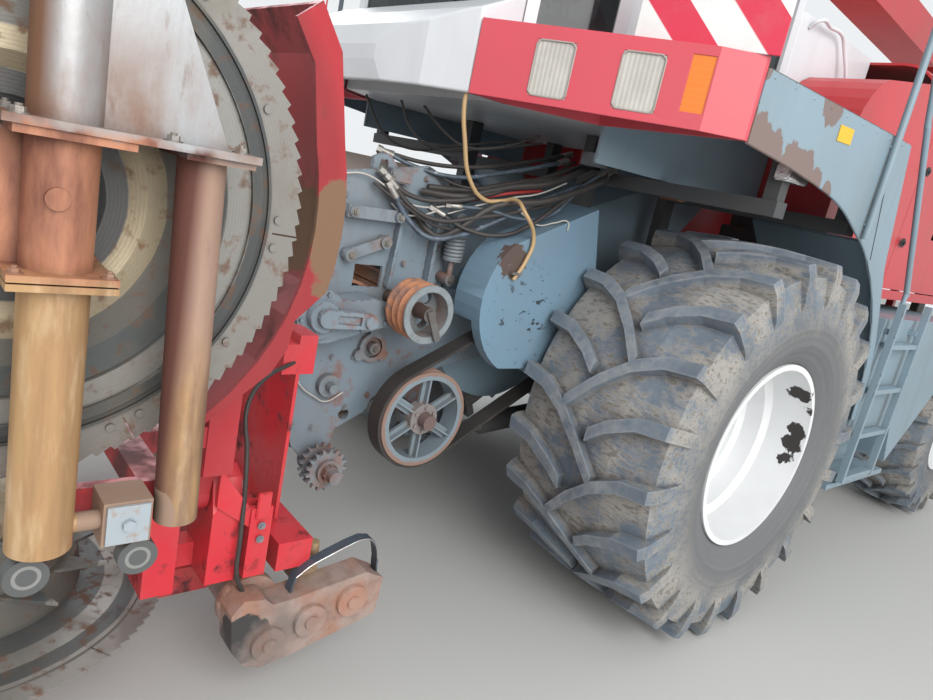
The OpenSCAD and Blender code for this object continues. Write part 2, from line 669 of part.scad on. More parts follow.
// The wheel arch and the liner behind it, as (angle, clearance)
arch = [[91, 220], [77.3, 155], [69, 138], [52.5, 107], [36.5, 88], [21, 69], [6.3, 56]];
arch_back = [[6.1, 86], [19.7, 130], [31.8, 140], [53.9, 225]];
liner = [[64.2, 210], [51.2, 166], [38.7, 130], [25.7, 109], [6.3, 66]];
module platform() {
    liner_top = on_arch(liner[0][0], liner[0][1]);
    color(PAINT_GREY) both_sides() union() {
        block([cab_x + 13, deck_front, deck_top - 24], [deck_x, deck_back, deck_top]);
        across(concat([[deck_front, deck_top], [deck_front, skirt_z + 5], [-430, skirt_z - 30]],
            [for (p = arch) on_arch(p[0], p[1])], [for (p = arch_back) on_arch(p[0], p[1])], [[deck_back + 40, deck_top]]),
            deck_x - sheet, deck_x);
        block([cab_x + 25, deck_front, 1965], [cab_x + 25 + sheet, deck_back, deck_top]);
        across(concat([for (p = liner) on_arch(p[0], p[1])],
            [for (i = [len(liner) - 1:-1:0]) on_arch(liner[i][0], liner[i][1] + 14)]), cab_x + 30, deck_x - 5);
        across([[deck_back - 40, deck_top - 5], [deck_back - 40, liner_top.y + 62], liner_top - [2, 2], liner_top + [10, 8],
            [deck_back - 20, liner_top.y + 102], [deck_back - 20, deck_top - 5]], deck_x - 40, deck_x - 5);
    }
}

// Ladder behind the left drive tyre, and the steps
module ladder() {
    color(DARK) union() {
        for (y = [985, 1385]) block([deck_x + 8, y, 640], [deck_x + 44, y + 26, 1640]);
        for (z = [650, 900, 1150, 1400]) block([deck_x - 10, 1000, z], [deck_x + 40, 1400, z + 26]);
        for (y = [1005, 1365]) block([deck_x - 20 + seat_gap, y, 1470], [deck_x + 20, y + 20, 1500]);
    }
}

rail_out = deck_x + 20;
// Handrails beside the ladder, the guard rail of the right platform, and the mirror arms
module railing() {
    color(DARK) union() {
        rod([rail_out, 270, 1900], [rail_out, 270, 2960], 15);
        for (z = [1960, 2290]) rod([deck_x + seat_gap, 270, z], [rail_out, 270, z], 10);
        rod([rail_out, 998, 1640 + seat_gap], [rail_out, 998, 1720], 12);
        rod([rail_out, 1010, 1680], [rail_out, 520, 2440], 14);
        rod([rail_out, 526, 2420], [rail_out, 272, 2930], 13);
        mirror([1, 0, 0]) {
            for (y = [-780, -200, 390]) rod([deck_x - 40, y, deck_top + seat_gap], [deck_x - 40, y, deck_top + 950], 14);
            for (z = [480, 930]) rod([deck_x - 40, -784, deck_top + z], [deck_x - 40, 394, deck_top + z], 12);
            for (y = [-780, 390]) rod([deck_x - 36, y, deck_top + 900], [deck_x - 304, y, deck_top + 900], 11);
            for (y = [-780, 390]) rod([deck_x - 300, y, deck_top + seat_gap], [deck_x - 300, y, deck_top + 940], 14);
        }
        both_sides() {
            rod([cab_x + 30, cab_front + 250, cab_top - 13], [cab_x + 336, cab_front - 199, cab_top - 13], 12);
            rod([cab_x + 330, cab_front - 190, cab_top + 10], [cab_x + 330, cab_front - 190, cab_top - 560], 14);
            block([cab_x + 240, cab_front - 210, cab_top - 520], [cab_x + 420, cab_front - 180, cab_top - 120]);
        }
    }
}

// Striped boards that stand on the lamp mouldings
board_from = [1110, -1046];
board_to = [1530, -838];
module marker_boards() {
    dir = (board_to - board_from) / norm(board_to - board_from);
    side = [dir.y, -dir.x];
    color("#e2e2dc") both_sides() union() {
        upwards([board_from, board_to, board_to + 10 * side, board_from + 10 * side], bar_high + seat_gap, 2790);
        upwards([board_from + 60 * dir, board_from + 200 * dir, board_from + 200 * dir - 50 * side, board_from + 60 * dir - 50 * side],
            bar_high + seat_gap, bar_high + 12);
    }
}

// The cutting drum's housing between the rails, and the duct that rises from it to the spout
module chopper() {
    color(PAINT_GREY) union() {
        difference() {
            union() {
                wheel_drum(-380, 380, chop_r, chop_y, chop_z, 96);
                across([[-700, chop_z + 396], [-258, chop_z + 60], [500, 1500], [1150, 2150], [1215, 2160], [1215, 2420],
                    [705, 2420], [700, 2280], [430, 1980]], -300, 300);
                wheel_drum(370, 435, 88, chop_y, chop_z, 64);
                wheel_drum(-435, -370, 88, chop_y, chop_z, 64);
            }
            wheel_drum(-368, 368, chop_r - 12, chop_y, chop_z, 96);
            across([[-680, chop_z + 370], [-300, chop_z + 90], [490, 1518], [1140, 2165], [1200, 2180], [1200, 2430],
                [720, 2430], [715, 2275], [436, 1966]], -288, 288);
            block([-340, chop_y - 420, 940], [340, chop_y - 250, 1330]);
        }
        // Knife drum inside
        wheel_drum(-367, 367, 250, chop_y, chop_z, 48);
        // Drive shaft and its pulley for the feeder belt
        wheel_drum(355, 730, 38, chop_y, chop_z, 48);
        wheel_drum(belt_in, belt_out, chop_pulley_r, chop_y, chop_z, 72);
        for (p = [[-560, 1480], [-760, 1500]]) wheel_drum(375, guard_out - 6 - seat_gap, 14, p.x, p.y, 24);
        // Tower under the turret
        difference() {
            block([-250, 705, 2400], [250, 1215, turret_z - 70]);
            block([-238, 717, 2390], [238, 1203, turret_z - 60]);
        }
        translate([0, spout_y, turret_z - 80]) difference() {
            cylinder(h = 80, r = 256, $fn = 72);
            translate([0, 0, -5]) cylinder(h = 90, r = 236, $fn = 72);
        }
        // Feet between and on the rails
        both_sides() {
            block([370, -330, 1120], [rail_x - rail_w / 2 - seat_gap, -270, 1240]);
            block([290, 540, 1590], [430, 600, 1640]);
            block([405, 540, rail_top + seat_gap], [430, 600, 1640]);
        }
    }
}

guard_out = front_x - front_tyre_w / 2 - 25; // beside the tyre's inner wall
guard_in = guard_out - 170;
belt_out = guard_out - 70;
belt_in = belt_out - 80;
big_pulley = [-1275, 832];
small_pulley_at = [-1383, 1283];

// The rounded sheet guard over the feeder's belt drive, open inwards and where the belt leaves it
module drive_guard() {
    t = 6;
    c = [-845, 1348];
    r = 315;
    color(PAINT_GREY) difference() {
        across(concat([[-385, 1060], [-600, 1790]], arc(c, r, 128, 242, 14)), guard_in, guard_out);
        across(concat([[-385 - t * 1.4, 1060 + t], [-600 - t, 1790 - t * 1.6]], arc(c, r - t, 128, 242, 14)),
            guard_in - 5, guard_out - t);
        // The belt leaves it here
        across([[-1200, 1230], [-900, 1400], [-880, 1090], [-420, 1090], [-420, 900], [-1200, 900]], guard_in - 5, belt_out + 16);
    }
}

// A grooved belt pulley about X, from x0 to x1
module grooved(r, x0, x1, grooves, bore) {
    pitch = (x1 - x0 - 16) / grooves;
    rotate([0, 90, 0]) rotate_extrude($fn = 72) polygon(concat([[bore, x0], [r, x0]],
        [for (i = [0:grooves - 1]) each [[r, x0 + 8 + pitch * i], [r - 14, x0 + 8 + pitch * (i + 0.35)],
            [r - 14, x0 + 8 + pitch * (i + 0.65)], [r, x0 + 8 + pitch * (i + 1)]]], [[r, x1], [bore, x1]]));
}

module upper_pulley() {
    r = 106;
    z = cab_under - r - gap;
    color(RUST) translate([0, -170, z]) union() {
        grooved(r, cab_x - 85, cab_x + 15, 4, r - 42);
        wheel_drum(cab_x - 75, cab_x - 35, r - 40, 0, 0, 48);
        wheel_drum(cab_x - 100, cab_x + 17, 24, 0, 0, 32);
        block([cab_x - 110, -60, -40], [cab_x - 90, 60, r + gap - seat_gap]);
    }
}

function smooth(p, n) = [for (i = [0:len(p) - 2]) for (j = [0:n - 1]) let (t = j / n, a = p[max(i - 1, 0)], b = p[i], c = p[i + 1],
    d = p[min(i + 2, len(p) - 1)]) 0.5 * (2 * b + t * (c - a) + t * t * (2 * a - 5 * b + 4 * c - d) + t * t * t * (3 * b - a - 3 * c + d)),
    p[len(p) - 1]];
function unit(v) = v / norm(v);

// A hose of radius r along a smoothed route
module hose(route, r, up = [0.1, 0.2, 0.97], n = 8, steps = 5) {
    p = smooth(route, steps);
    m = len(p);
    rings = [for (i = [0:m - 1]) let (d = unit(p[min(i + 1, m - 1)] - p[max(i - 1, 0)]), a = unit(cross(d, up)), b = cross(d, a))
        each [for (k = [0:n - 1]) p[i] + r * (cos(360 * k / n) * a + sin(360 * k / n) * b)]];
    polyhedron(points = rings, faces = concat([[for (k = [0:n - 1]) k]],
        [for (i = [0:m - 2]) for (k = [0:n - 1]) [i * n + k, (i + 1) * n + k, (i + 1) * n + (k + 1) % n, i * n + (k + 1) % n]],
        [[for (k = [n - 1:-1:0]) (m - 1) * n + k]]));
}

hose_routes = [
    [[470, -1360, 1640], [560, -1260, 1560], [640, -1080, 1720], [700, -860, 1780], [700, -560, 1900], [600, -420, 1950]],
    [[470, -1330, 1720], [565, -1200, 1730], [600, -1000, 1800], [640, -780, 1860], [560, -440, 1990]],
    [[470, -1300, 1740], [510, -1120, 1760], [560, -900, 1830], [600, -650, 1900], [500, -430, 2010]]];
module hoses() {
    color(RUBBER) for (route = hose_routes) hose(route, 14);
}

sprocket_at = [-1613, 585];
feeder_side = concat(arc(sprocket_at, 62, -30, -190, 8), [[-1720, 650], [-1835, 960], [-1800, 1200], [-1690, 1340],
    [-1670, 1745], [-1300, 1820], [-1150, 1700], [-1120, 1330], [-700, 1318]], arc([chop_y, chop_z], 138, 85, -85, 10),
    [[-700, 1045], [-1060, 960], [-1374, 836], [-1399, 775], [-1531, 706], [-1550, 620]]);

// The feed housing: two side plates that turn about the cutting drum's axis, and what ties them
module feeder_housing() {
    color(PAINT_GREY) union() {
        both_sides() difference() {
            across(feeder_side, feed_x - feed_plate, feed_x);
            wheel_drum(feed_x - 60, feed_x + 10, 88 + seat_gap, chop_y, chop_z, 64);
            block([feed_x - 20, -1562, 1315], [feed_x + 5, -1435, 1402]);
            wheel_drum(feed_x - 60, feed_x + 10, 24, -1500, 770, 32);
        }
        // Front edge, lower lip and rear wall between the side plates
        across([[-1674, 1690], [-1664, 1740], [-1310, 1810], [-1310, 1796], [-1652, 1728], [-1661, 1690]], -feed_x + 5, feed_x - 5);
        across([[-1712, 655], [-1670, 600], [-1560, 600], [-1525, 716], [-1395, 786], [-1370, 846], [-1156, 930], [-1162, 942],
            [-1380, 856], [-1404, 795], [-1536, 726], [-1568, 614], [-1664, 614], [-1701, 663]], -feed_x + 5, feed_x - 5);
        across([[-1148, 1400], [-1160, 1700], [-1310, 1810], [-1310, 1796], [-1174, 1694], [-1162, 1400]], -feed_x + 5, feed_x - 5);
        // Lifting lugs
        both_sides() difference() {
            across([[-1556, 1700], [-1552, 1815], [-1515, 1834], [-1480, 1832], [-1437, 1790], [-1428, 1700]], feed_x - 26, feed_x - 6);
            across([[-1526, 1778], [-1520, 1812], [-1490, 1812], [-1486, 1778]], feed_x - 30, feed_x);
        }
        // Stiffener ribs and the ears of the lift cylinders
        both_sides() {
            across([[-1230, 1330], [-1215, 1330], [-1215, 1690], [-1230, 1690]], feed_x - 5, feed_x + 40);
            across([[-1420, 1325], [-1405, 1325], [-1390, 1640], [-1405, 1640]], feed_x - 5, feed_x + 34);
            across([[-1300, 905], [-1060, 1000], [-1060, lift_eye.z + 10], [lift_eye.y + 30, lift_eye.z - 34],
                [lift_eye.y - 30, lift_eye.z - 34], [lift_eye.y - 62, lift_eye.z + 20]], feed_x - feed_plate, feed_x);
            wheel_drum(feed_x - 5, lift_eye.x + 45, 24, lift_eye.y, lift_eye.z, 32);
        }
        // Struts below the front
        both_sides() rod([300, -1860, 830], [300, -1640, 588], 22);
        both_sides() block([280, -1650, 575], [320, -1590, 715]);
    }
}

module feed_rolls() {
    color(RUST) for (roll = [[-1570, 860, 120], [-1300, 988, 84], [-1560, 1210, 140], [-1290, 1230, 115]]) {
        difference() {
            wheel_drum(-feed_x + feed_plate + seat_gap, feed_x - feed_plate - seat_gap, roll[2] - 14, roll[0], roll[1], 48);
            wheel_drum(-feed_x, feed_x, roll[2] - 26, roll[0], roll[1], 48);
        }
        for (a = [0:45:315]) translate([0, roll[0], roll[1]]) rotate([a, 0, 0])
            block([-410, -5, roll[2] - 20], [410, 5, roll[2]]);
    }
}

// The feeder's gear case on its left side, with the round cover and the crank arm
module feeder_gearcase() {
    x0 = feed_x + seat_gap;
    cover = [-1752, 1228];
    crank = [-1574, 1222];
    color(PAINT_GREY) union() {
        across([[-1875, 1205], [-1865, 1296], [-1816, 1322], [-1677, 1277], [-1528, 1294], [-1450, 1277], [-1436, 1186], [-1568, 1154],
            [-1711, 1113], [-1794, 1122]], x0, x0 + 120);
        wheel_drum(x0 + 115, x0 + 134, 96, cover.x, cover.y, 64);
        wheel_drum(x0 + 130, x0 + 170, 58, cover.x, cover.y, 48);
        for (a = [15:60:360]) wheel_drum(x0 + 130, x0 + 142, 8, cover.x + 80 * cos(a), cover.y + 80 * sin(a), 12);
        difference() {
            across(concat(arc(cover, 34, 90, 270, 6), [crank + [0, -30]], arc(crank, 30, -90, 90, 6)), x0 + 165, x0 + 195);
            across([cover + [40, -16], crank + [-38, -16], crank + [-38, 16], cover + [40, 16]], x0 + 184, x0 + 205);
        }
        wheel_drum(x0 + 110, x0 + 210, 26, crank.x, crank.y, 32);
        for (p = [[-1840, 1290], [-1670, 1262], [-1470, 1262], [-1460, 1200], [-1560, 1172], [-1780, 1136]])
            wheel_drum(x0 + 115, x0 + 128, 10, p.x, p.y, 16);
    }
}

// Links, bearings and the coil spring on the feeder's left side
module feeder_linkage() {
    x0 = feed_x + seat_gap;
    bearing = [-1426, 1066];
    spring = [-1140, 1382, 1640]; // its place along Y, and the heights of its rod's ends
    // Links as their boss places, distance off the plate, width and boss radius
    links = [[[-1637, 1607], [-1434, 1609], 40, 46, 21], [[-1614, 1441], [-1464, 1503], 20, 44, 24]];
    color("#6f6560") union() {
        for (link = links) {
            strap([x0 + link[2], link[0].x, link[0].y], [x0 + link[2], link[1].x, link[1].y], link[3], 14);
            for (p = [link[0], link[1]]) wheel_drum(x0, x0 + link[2] + 28, link[4], p.x, p.y, 24);
        }
        // Three-lobed bearing flange, and two smaller ones
        difference() {
            union() {
                wheel_drum(x0, x0 + 22, 62, bearing.x, bearing.y, 48);
                for (a = [90, 210, 330]) wheel_drum(x0, x0 + 22, 24, bearing.x + 66 * cos(a), bearing.y + 66 * sin(a), 24);
            }
            wheel_drum(x0 + 8, x0 + 30, 44, bearing.x, bearing.y, 48);
        }
        wheel_drum(x0, x0 + 40, 24, bearing.x, bearing.y, 24);
        wheel_drum(x0, x0 + 30, 46, -1605, 907, 32);
        wheel_drum(x0, x0 + 70, 20, -1605, 907, 24);
        // Coil spring on its rod, with eyes at both ends
        rod([x0 + 60, spring[0], spring[1]], [x0 + 60, spring[0], spring[2]], 12);
        for (i = [0:7]) translate([x0 + 60, spring[0], spring[1] + 94 + 15.5 * i]) rotate([4, 0, 0])
            rotate_extrude($fn = 24) translate([36, 0]) circle(r = 8, $fn = 13);
        for (z = [82, 198]) rod([x0 + 60, spring[0], spring[1] + z], [x0 + 60, spring[0], spring[1] + z + 12], 42);
        for (e = [1, 2]) wheel_drum(x0, x0 + 76, 24, spring[0], spring[e], 24);
    }
}

module small_pulley() {
    r = small_pulley_r;
    color(RUST) translate([0, small_pulley_at.x, small_pulley_at.y]) union() {
        grooved(r, belt_in - 10, belt_out + 40, 3, r - 26);
        difference() {
            wheel_drum(belt_in + 30, belt_in + 44, r - 22, 0, 0, 64);
            for (a = [60, 180, 300]) rotate([a, 0, 0]) wheel_drum(belt_in + 25, belt_in + 50, 0.22 * r, 0.5 * r, 0, 32);
        }
        wheel_drum(feed_x + seat_gap, belt_out + 45, 28, 0, 0, 32);
        // Bent handle on the hub
        rotate([28, 0, 0]) block([belt_out + 45, -14, -112], [belt_out + 57, 14, 20]);
    }
}

module big_pulley() {
    color(PAINT_GREY) translate([0, big_pulley.x, big_pulley.y]) union() {
        grooved(big_pulley_r, belt_in - 6, belt_out + 4, 6, big_pulley_r - 34);
        wheel_drum(belt_in + 30, belt_out, 66, 0, 0, 48);
        wheel_drum(feed_x + seat_gap, belt_out + 45, 32, 0, 0, 32);
        for (a = [0:60:300]) rotate([a, 0, 0]) {
            block([belt_in + 44, -22, 40], [belt_in + 58, 22, big_pulley_r - 28]);
            block([belt_in + 44, -4, 40], [belt_in + 80, 4, big_pulley_r - 28]);
        }
        for (a = [30:60:330]) wheel_drum(belt_out - 5, belt_out + 8, 8, 50 * cos(a), 50 * sin(a), 12);
    }
}

// Outer line of a loop round two pulleys, a distance e off them
function loop_line(e, n) = let (d = chop_pulley_c - big_pulley, f = atan2(d.y, d.x), h = acos((big_pulley_r - chop_pulley_r) / norm(d)),
    k1 = (big_pulley_r + e) / cos((180 - h) / n), k2 = (chop_pulley_r + e) / cos(h / n))
    concat(arc(big_pulley, k1, f + h, f + 360 - h, n), arc(chop_pulley_c, k2, f - h, f + h, n));
chop_pulley_c = [chop_y, chop_z];
module drive_belt() {
    color(RUBBER) difference() {
        across(loop_line(13, 24), belt_in, belt_out - 2);
        across(loop_line(seat_gap, 24), belt_in - 5, belt_out + 5);
    }
}

// Two chain sprockets on their splined shaft, which drives the header
module header_sprocket() {
    color(BARE_STEEL) translate([0, sprocket_at.x, sprocket_at.y]) union() {
        wheel_drum(feed_x + seat_gap, 505, 40, 0, 0, 32);
        for (x = [500, 560]) translate([x, 0, 0]) rotate([90, 0, 90]) linear_extrude(16)
            polygon([for (i = [0:sprocket_teeth - 1]) each [for (j = [[-0.28, 75], [-0.12, 91], [0.12, 91], [0.28, 75]])
                j[1] * [cos(360 * (i + j[0]) / sprocket_teeth), sin(360 * (i + j[0]) / sprocket_teeth)]]]);
        wheel_drum(500, 592, 48, 0, 0, 48);
        // The splined stretch, and the plain end that takes the coupling
        wheel_drum(585, 620, header_shaft_r + 4, 0, 0, 48);
        for (a = [0:45:315]) rotate([a, 0, 0]) block([590, -4, 28], [618, 4, header_shaft_r + 8]);
        wheel_drum(615, 652, header_shaft_r, 0, 0, 48);
    }
}

// Lift cylinders, drawn along the line from the barrel's pin to the rod's pin
module on_lift() {
    d = lift_eye - lift_back;
    both_sides() translate(lift_back) rotate([atan2(d.z, -d.y) * -1 + 90, 0, 0]) children();
}
lift_long = norm(lift_eye - lift_back);

module lift_barrels() {
    color(DARK) on_lift() difference() {
        union() {
            rotate([0, 90, 0]) translate([0, 0, -42]) cylinder(h = 84, r = 52, $fn = 48);
            translate([0, 0, 40]) cylinder(h = 560, r = 50, $fn = 48);
        }
        rotate([0, 90, 0]) translate([0, 0, -50]) cylinder(h = 100, r = 24 + seat_gap, $fn = 32);
        translate([0, 0, 80]) cylinder(h = 600, r = 32 + seat_gap, $fn = 48);
    }
}

module lift_rods() {
    color(BARE_STEEL) on_lift() difference() {
        union() {
            translate([0, 0, 160]) cylinder(h = lift_long - 200, r = 32, $fn = 48);
            translate([0, 0, lift_long]) rotate([0, 90, 0]) translate([0, 0, -38]) cylinder(h = 76, r = 48, $fn = 48);
        }
        // The eye is open towards the front and loose on its pin
        translate([0, 0, lift_long]) rotate([0, 90, 0]) translate([0, 0, -50]) cylinder(h = 100, r = 26.5, $fn = 32);
        translate([-50, -30, lift_long]) cube([100, 60, 60]);
    }
}

fork_low = 475;
shaft_r = 74;
fork_x = [800, 985];
// The middle part of the header: walls, beams, forks for the wings, and the arms under the inner rotors
module header_frame() {
    fork = [[fork_x[0], fork_low], [fork_x[1], fork_low], [fork_x[1], 715], [955, 815], [fold_x, 835], [845, 815], [fork_x[0], 715]];
    color(PAINT_RED) union() {
        difference() {
            block([-850, -1960, 560], [850, -1948, 1160]);
            block([-330, -1970, 660], [330, -1940, 1120]);
        }
        both_sides() {
            block([feed_x - feed_plate - 16, -1955, 700], [feed_x - feed_plate - seat_gap, -1690, 1280]);
            along(fork, fork_y[0], fork_y[1]);
            along(fork, fork_y[2], fork_y[3]);
            translate([fold_x, fork_y[0] - 6, fold_z]) rotate([-90, 0, 0]) cylinder(h = fork_y[3] - fork_y[0] + 12, r = 30, $fn = 48);
            block([fork_x[0], fork_y[0] + 5, fork_low + 5], [fork_x[0] + 70, -1950, 560]);
            // Folded plate from the rear fork to the upright square tube outside it
            across([[-2228, 745], [-2228, 868], [-2125, 728], [-2060, 716], [-2060, 650], [-2120, 660]], fork_x[1] - 5, fork_x[1] + 12);
            difference() {
                block([fork_x[1] - 45, -2121, 486], [fork_x[1] + 20, -2051, 725]);
                block([fork_x[1] - 37, -2113, 500], [fork_x[1] + 12, -2059, 730]);
            }
            block([fork_x[0] + 60, -2110, 490], [fork_x[1] - 40, -2060, 555]);
            difference() {
                union() {
                    block([inner_x - 80, -2900, 230], [inner_x + 80, -2010, 330]);
                    block([inner_x - 70, -2165, 230], [inner_x + 70, -1950, 490]);
                }
                wheel_drum(inner_x - 90, inner_x + 90, shaft_r + seat_gap, shaft_at.x, shaft_at.y, 64);
            }
            translate([inner_x, rotor_y, 225]) cylinder(h = knife_z - 20 - 225 - seat_gap, r = 120, $fn = 64);
            block([720, -1962, 1100], [850, -1900, 1230]);
        }
        block([-1000, -2010, 480], [1000, -1890, 580]);
        block([-850, -2010, 1100], [850, -1900, 1200]);
    }
}

// The rusty cross shaft low behind the rotors, and the chain case at its left end
module header_drive() {
    color(RUST) union() {
        wheel_drum(250, 960, shaft_r, shaft_at.x, shaft_at.y, 48);
        wheel_drum(935, 970, 98, shaft_at.x, shaft_at.y, 48);
        across([[-2165, 395], [-2150, 262], [-2105, 200], [-2050, 172], [-1950, 185], [-1625, 258], [-1615, 400], [-1690, 440],
            [-1960, 405], [-2030, 402], [-2060, 430], [-2130, 440]], 960, 1060);
        for (p = [[-2035, 268], [-1893, 311], [-1739, 346]]) {
            wheel_drum(1055, 1078, 56, p.x, p.y, 48);
            wheel_drum(1075, 1088, 22, p.x, p.y, 24);
        }
        // Joint yoke on the case
        block([880, -1910, 420], [960, -1830, 474]);
        wheel_drum(850, 965, 40, -1870, 400, 32);
        both_sides() block([260, -2060, 425], [340, -2000, 480 - seat_gap]);
        wheel_drum(-960, -240, shaft_r, shaft_at.x, shaft_at.y, 48);
        block([-250, -2100, 320], [255, -2040, 390]);
    }
}

// A rotor about its own axis, with the knife disc at z = 0 and the drum above
module rotor() {
    tooth = 11;
    slit_in = rotor_r - 63;
    color(BARE_STEEL) union() {
        // Ring of saw segments, with ratchet teeth
        translate([0, 0, -3]) linear_extrude(6) difference() {
            polygon([for (i = [0:saw_teeth - 1]) each [for (j = [[0.1, tooth], [0.95, 0]])
                (rotor_r - j[1]) * [cos(360 * (i + j[0]) / saw_teeth), sin(360 * (i + j[0]) / saw_teeth)]]]);
            circle(r = 470, $fn = 72);
            for (i = [0:saw_segments - 1]) rotate(360 * i / saw_segments + 33) translate([slit_in, -2]) square([100, 4]);
        }
        difference() {
            rotate_extrude($fn = 72) polygon([[0, -20], [130, -20], [130, -9], [205, -9], [235, -24], [392, -12], [404, -4], [455, -4],
                [455, -13], [478, -13], [478, -4.5], [492, -4.5], [492, -11], [499, -11], [499, 4.5], [512, 4.5], [512, 9], [330, 16],
                [318, 120], [300, 128], [290, 270], [270, 278], [262, 410], [200, drum_h], [0, drum_h]]);
            // The drum is hollow, with three openings in its lid
            rotate_extrude($fn = 72) polygon([[60, 0], [400, 4], [320, 8], [308, 112], [290, 120], [280, 264], [260, 272], [254, 402],
                [196, drum_h - 8], [60, drum_h - 8]]);
            for (a = [0, 120, 240]) rotate(a) translate([128, 0, 300]) cylinder(h = 200, r = 42, $fn = 32);
        }
        // Rows of fingers on the drum
        for (row = [[118, 425, 310], [272, 385, 285]]) translate([0, 0, row[0]]) linear_extrude(10)
            polygon([for (i = [0:11]) each [for (j = [[0, row[2]], [0.5, row[2]], [0.95, row[1]]])
                j[1] * [cos(30 * (i + j[0])), sin(30 * (i + j[0]))]]]);
        // Bolts of the segments, in pairs beside each slit and one by one between
        for (i = [0:saw_segments - 1]) for (a = [29.5, 36.5, 63]) rotate(360 * i / saw_segments + a)
            translate([slit_in + 8, 0, -9]) cylinder(h = 8, r = 9, $fn = 16);
    }
}

module rotor_inner(side) {
    translate([side * inner_x, rotor_y, knife_z]) mirror([side == LEFT ? 0 : 1, 0, 0]) rotor();
}

module rotor_outer(side) {
    mirror([side == LEFT ? 0 : 1, 0, 0]) translate([wing_x, rotor_y, wing_z]) rotate([0, -90, 0]) rotor();
}

// Outer edge of a wing's shroud, as (angle about the rotor's axis from the rear upwards, clearance from its teeth)
shroud_low = [[-50, 55], [-42, 62], [-33, 84], [-27, 84], [-21, 62]];
shroud_high = concat([for (a = [-13:6:17]) [a, 110]], [[32.5, 153], [41, 156]]);
shroud_edge = concat(shroud_low, shroud_high);
function on_shroud(p, inset) = [rotor_y, wing_z] + (rotor_r + p[1] - inset) * [cos(p[0]), sin(p[0])];

// A strip that follows the shroud's edge, from one inset to another
module shroud_strip(inset0, inset1, x0, x1) {
    across(concat([for (p = shroud_edge) on_shroud(p, inset0)],
        [for (i = [len(shroud_edge) - 1:-1:0]) on_shroud(shroud_edge[i], min(inset1, shroud_edge[i][1] - 38))]), x0, x1);
}

bar_z = [985, 1045]; // low and high side of the bar that carries the pipes
// A wing folded upright: its hinge arm, the bar to the pipes and the shroud round the rotor
module wing(side) {
    post_x = [1010, 1090];
    color(PAINT_RED) mirror([side == LEFT ? 0 : 1, 0, 0]) union() {
        difference() {
            union() {
                translate([fold_x, arm_y[0], fold_z]) rotate([-90, 0, 0]) cylinder(h = arm_y[1] - arm_y[0], r = 58, $fn = 48);
                along([[880, 712], [950, 732], [972, 860], [post_x[1], 900], [post_x[1], 1100], [860, 1100], [fold_x - 52, fold_z + 20]],
                    arm_y[0], arm_y[1]);
            }
            translate([fold_x, arm_y[0] - 5, fold_z]) rotate([-90, 0, 0])
                cylinder(h = arm_y[1] - arm_y[0] + 10, r = 30 + seat_gap, $fn = 48);
        }
        // Post and rib up to the shroud
        for (x = [[862, 880], post_x])
            across([[arm_y[0], 1090], [arm_y[0], 1222], [arm_y[1], 1322], [arm_y[1], 1090]], x[0], x[1]);
        // Shroud: a curved wall with a flange facing outwards
        shroud_strip(0, sheet, 800, wing_x + 12);
        shroud_strip(0, 72, wing_x, wing_x + 12);
        // Bar to the pipes
        block([post_x[0] + 10, -2500, bar_z[0]], [post_x[1] - 5, arm_y[0] + 20, bar_z[1]]);
        block([post_x[0] + 10, -2560, bar_z[0]], [rotor_under + 37, -2495, bar_z[1]]);
        block([rotor_under + 9, -2800, bar_z[0]], [rotor_under + 37, -2450, bar_z[1]]);
    }
}

pipe_x = 1400;
long_pipe = [-2754, 58]; // place along Y and radius
short_pipe = [-2497, 45];
plate_z = 1757;
// The pipes under a wing's rotor, which carry its bearing and slide over the ground
module wing_pipes(side) {
    x0 = rotor_under + 37 + seat_gap;
    color("#9a6a45") mirror([side == LEFT ? 0 : 1, 0, 0]) union() {
        translate([pipe_x, long_pipe[0], 964]) cylinder(h = 2225 - 964, r = long_pipe[1], $fn = 48);
        translate([pipe_x, short_pipe[0], 983]) rotate([1.9, 0, 0]) cylinder(h = plate_z - 980, r = short_pipe[1], $fn = 48);
        // Rotor bearing on the long pipe
        wheel_drum(wing_x + 20 + seat_gap, pipe_x - 20, 118, rotor_y, wing_z, 64);
        // Flange pair, upper flanges, the long plate over both pipes and the bright sheet on it
        for (z = [1492, 1507]) block([rotor_under + 8, long_pipe[0] - 85, z], [pipe_x + 84, long_pipe[0] + 85, z + 12]);
        block([rotor_under + 8, long_pipe[0] - 85, plate_z - 14], [pipe_x + 84, long_pipe[0] + 95, plate_z + 1]);
        block([rotor_under + 8, short_pipe[0] - 78, plate_z - 12], [pipe_x + 74, short_pipe[0] + 50, plate_z + 1]);
        block([rotor_under + 8, long_pipe[0] - 100, plate_z], [pipe_x + 90, short_pipe[0] + 54, plate_z + 14]);
        wheel_drum(pipe_x + 40, pipe_x + 62, 19, long_pipe[0] - 14, 1645, 24);
        across([[long_pipe[0], plate_z + 10], [short_pipe[0] + 18, plate_z + 10], [-2600, 2035], [-2694, 2225], [long_pipe[0], 2225]],
            pipe_x + 10, pipe_x + 18);
        // Square box between the pipes, with its cover, and a stub to the long pipe
        block([x0, -2650, 955], [pipe_x + 32, -2556, 1052]);
        block([pipe_x + 30, -2644, 961], [pipe_x + 40, -2562, 1046]);
        wheel_drum(pipe_x + 38, pipe_x + 50, 13, -2603, 1004, 6);
        rod([pipe_x, long_pipe[0], 1004], [pipe_x, -2645, 1004], 20);
        // Small wheels below the pipes
        for (p = [[-2775, 910, 1010], [-2573, 912, 975]]) {
            block([x0, p.x - 12, p.y - 12], [x0 + 12, p.x + 12, p[2]]);
            wheel_drum(x0 + 5, pipe_x - 5, 10, p.x, p.y, 24);
            wheel_drum(pipe_x - 10, pipe_x + 24, 40, p.x, p.y, 48);
        }
    }
}

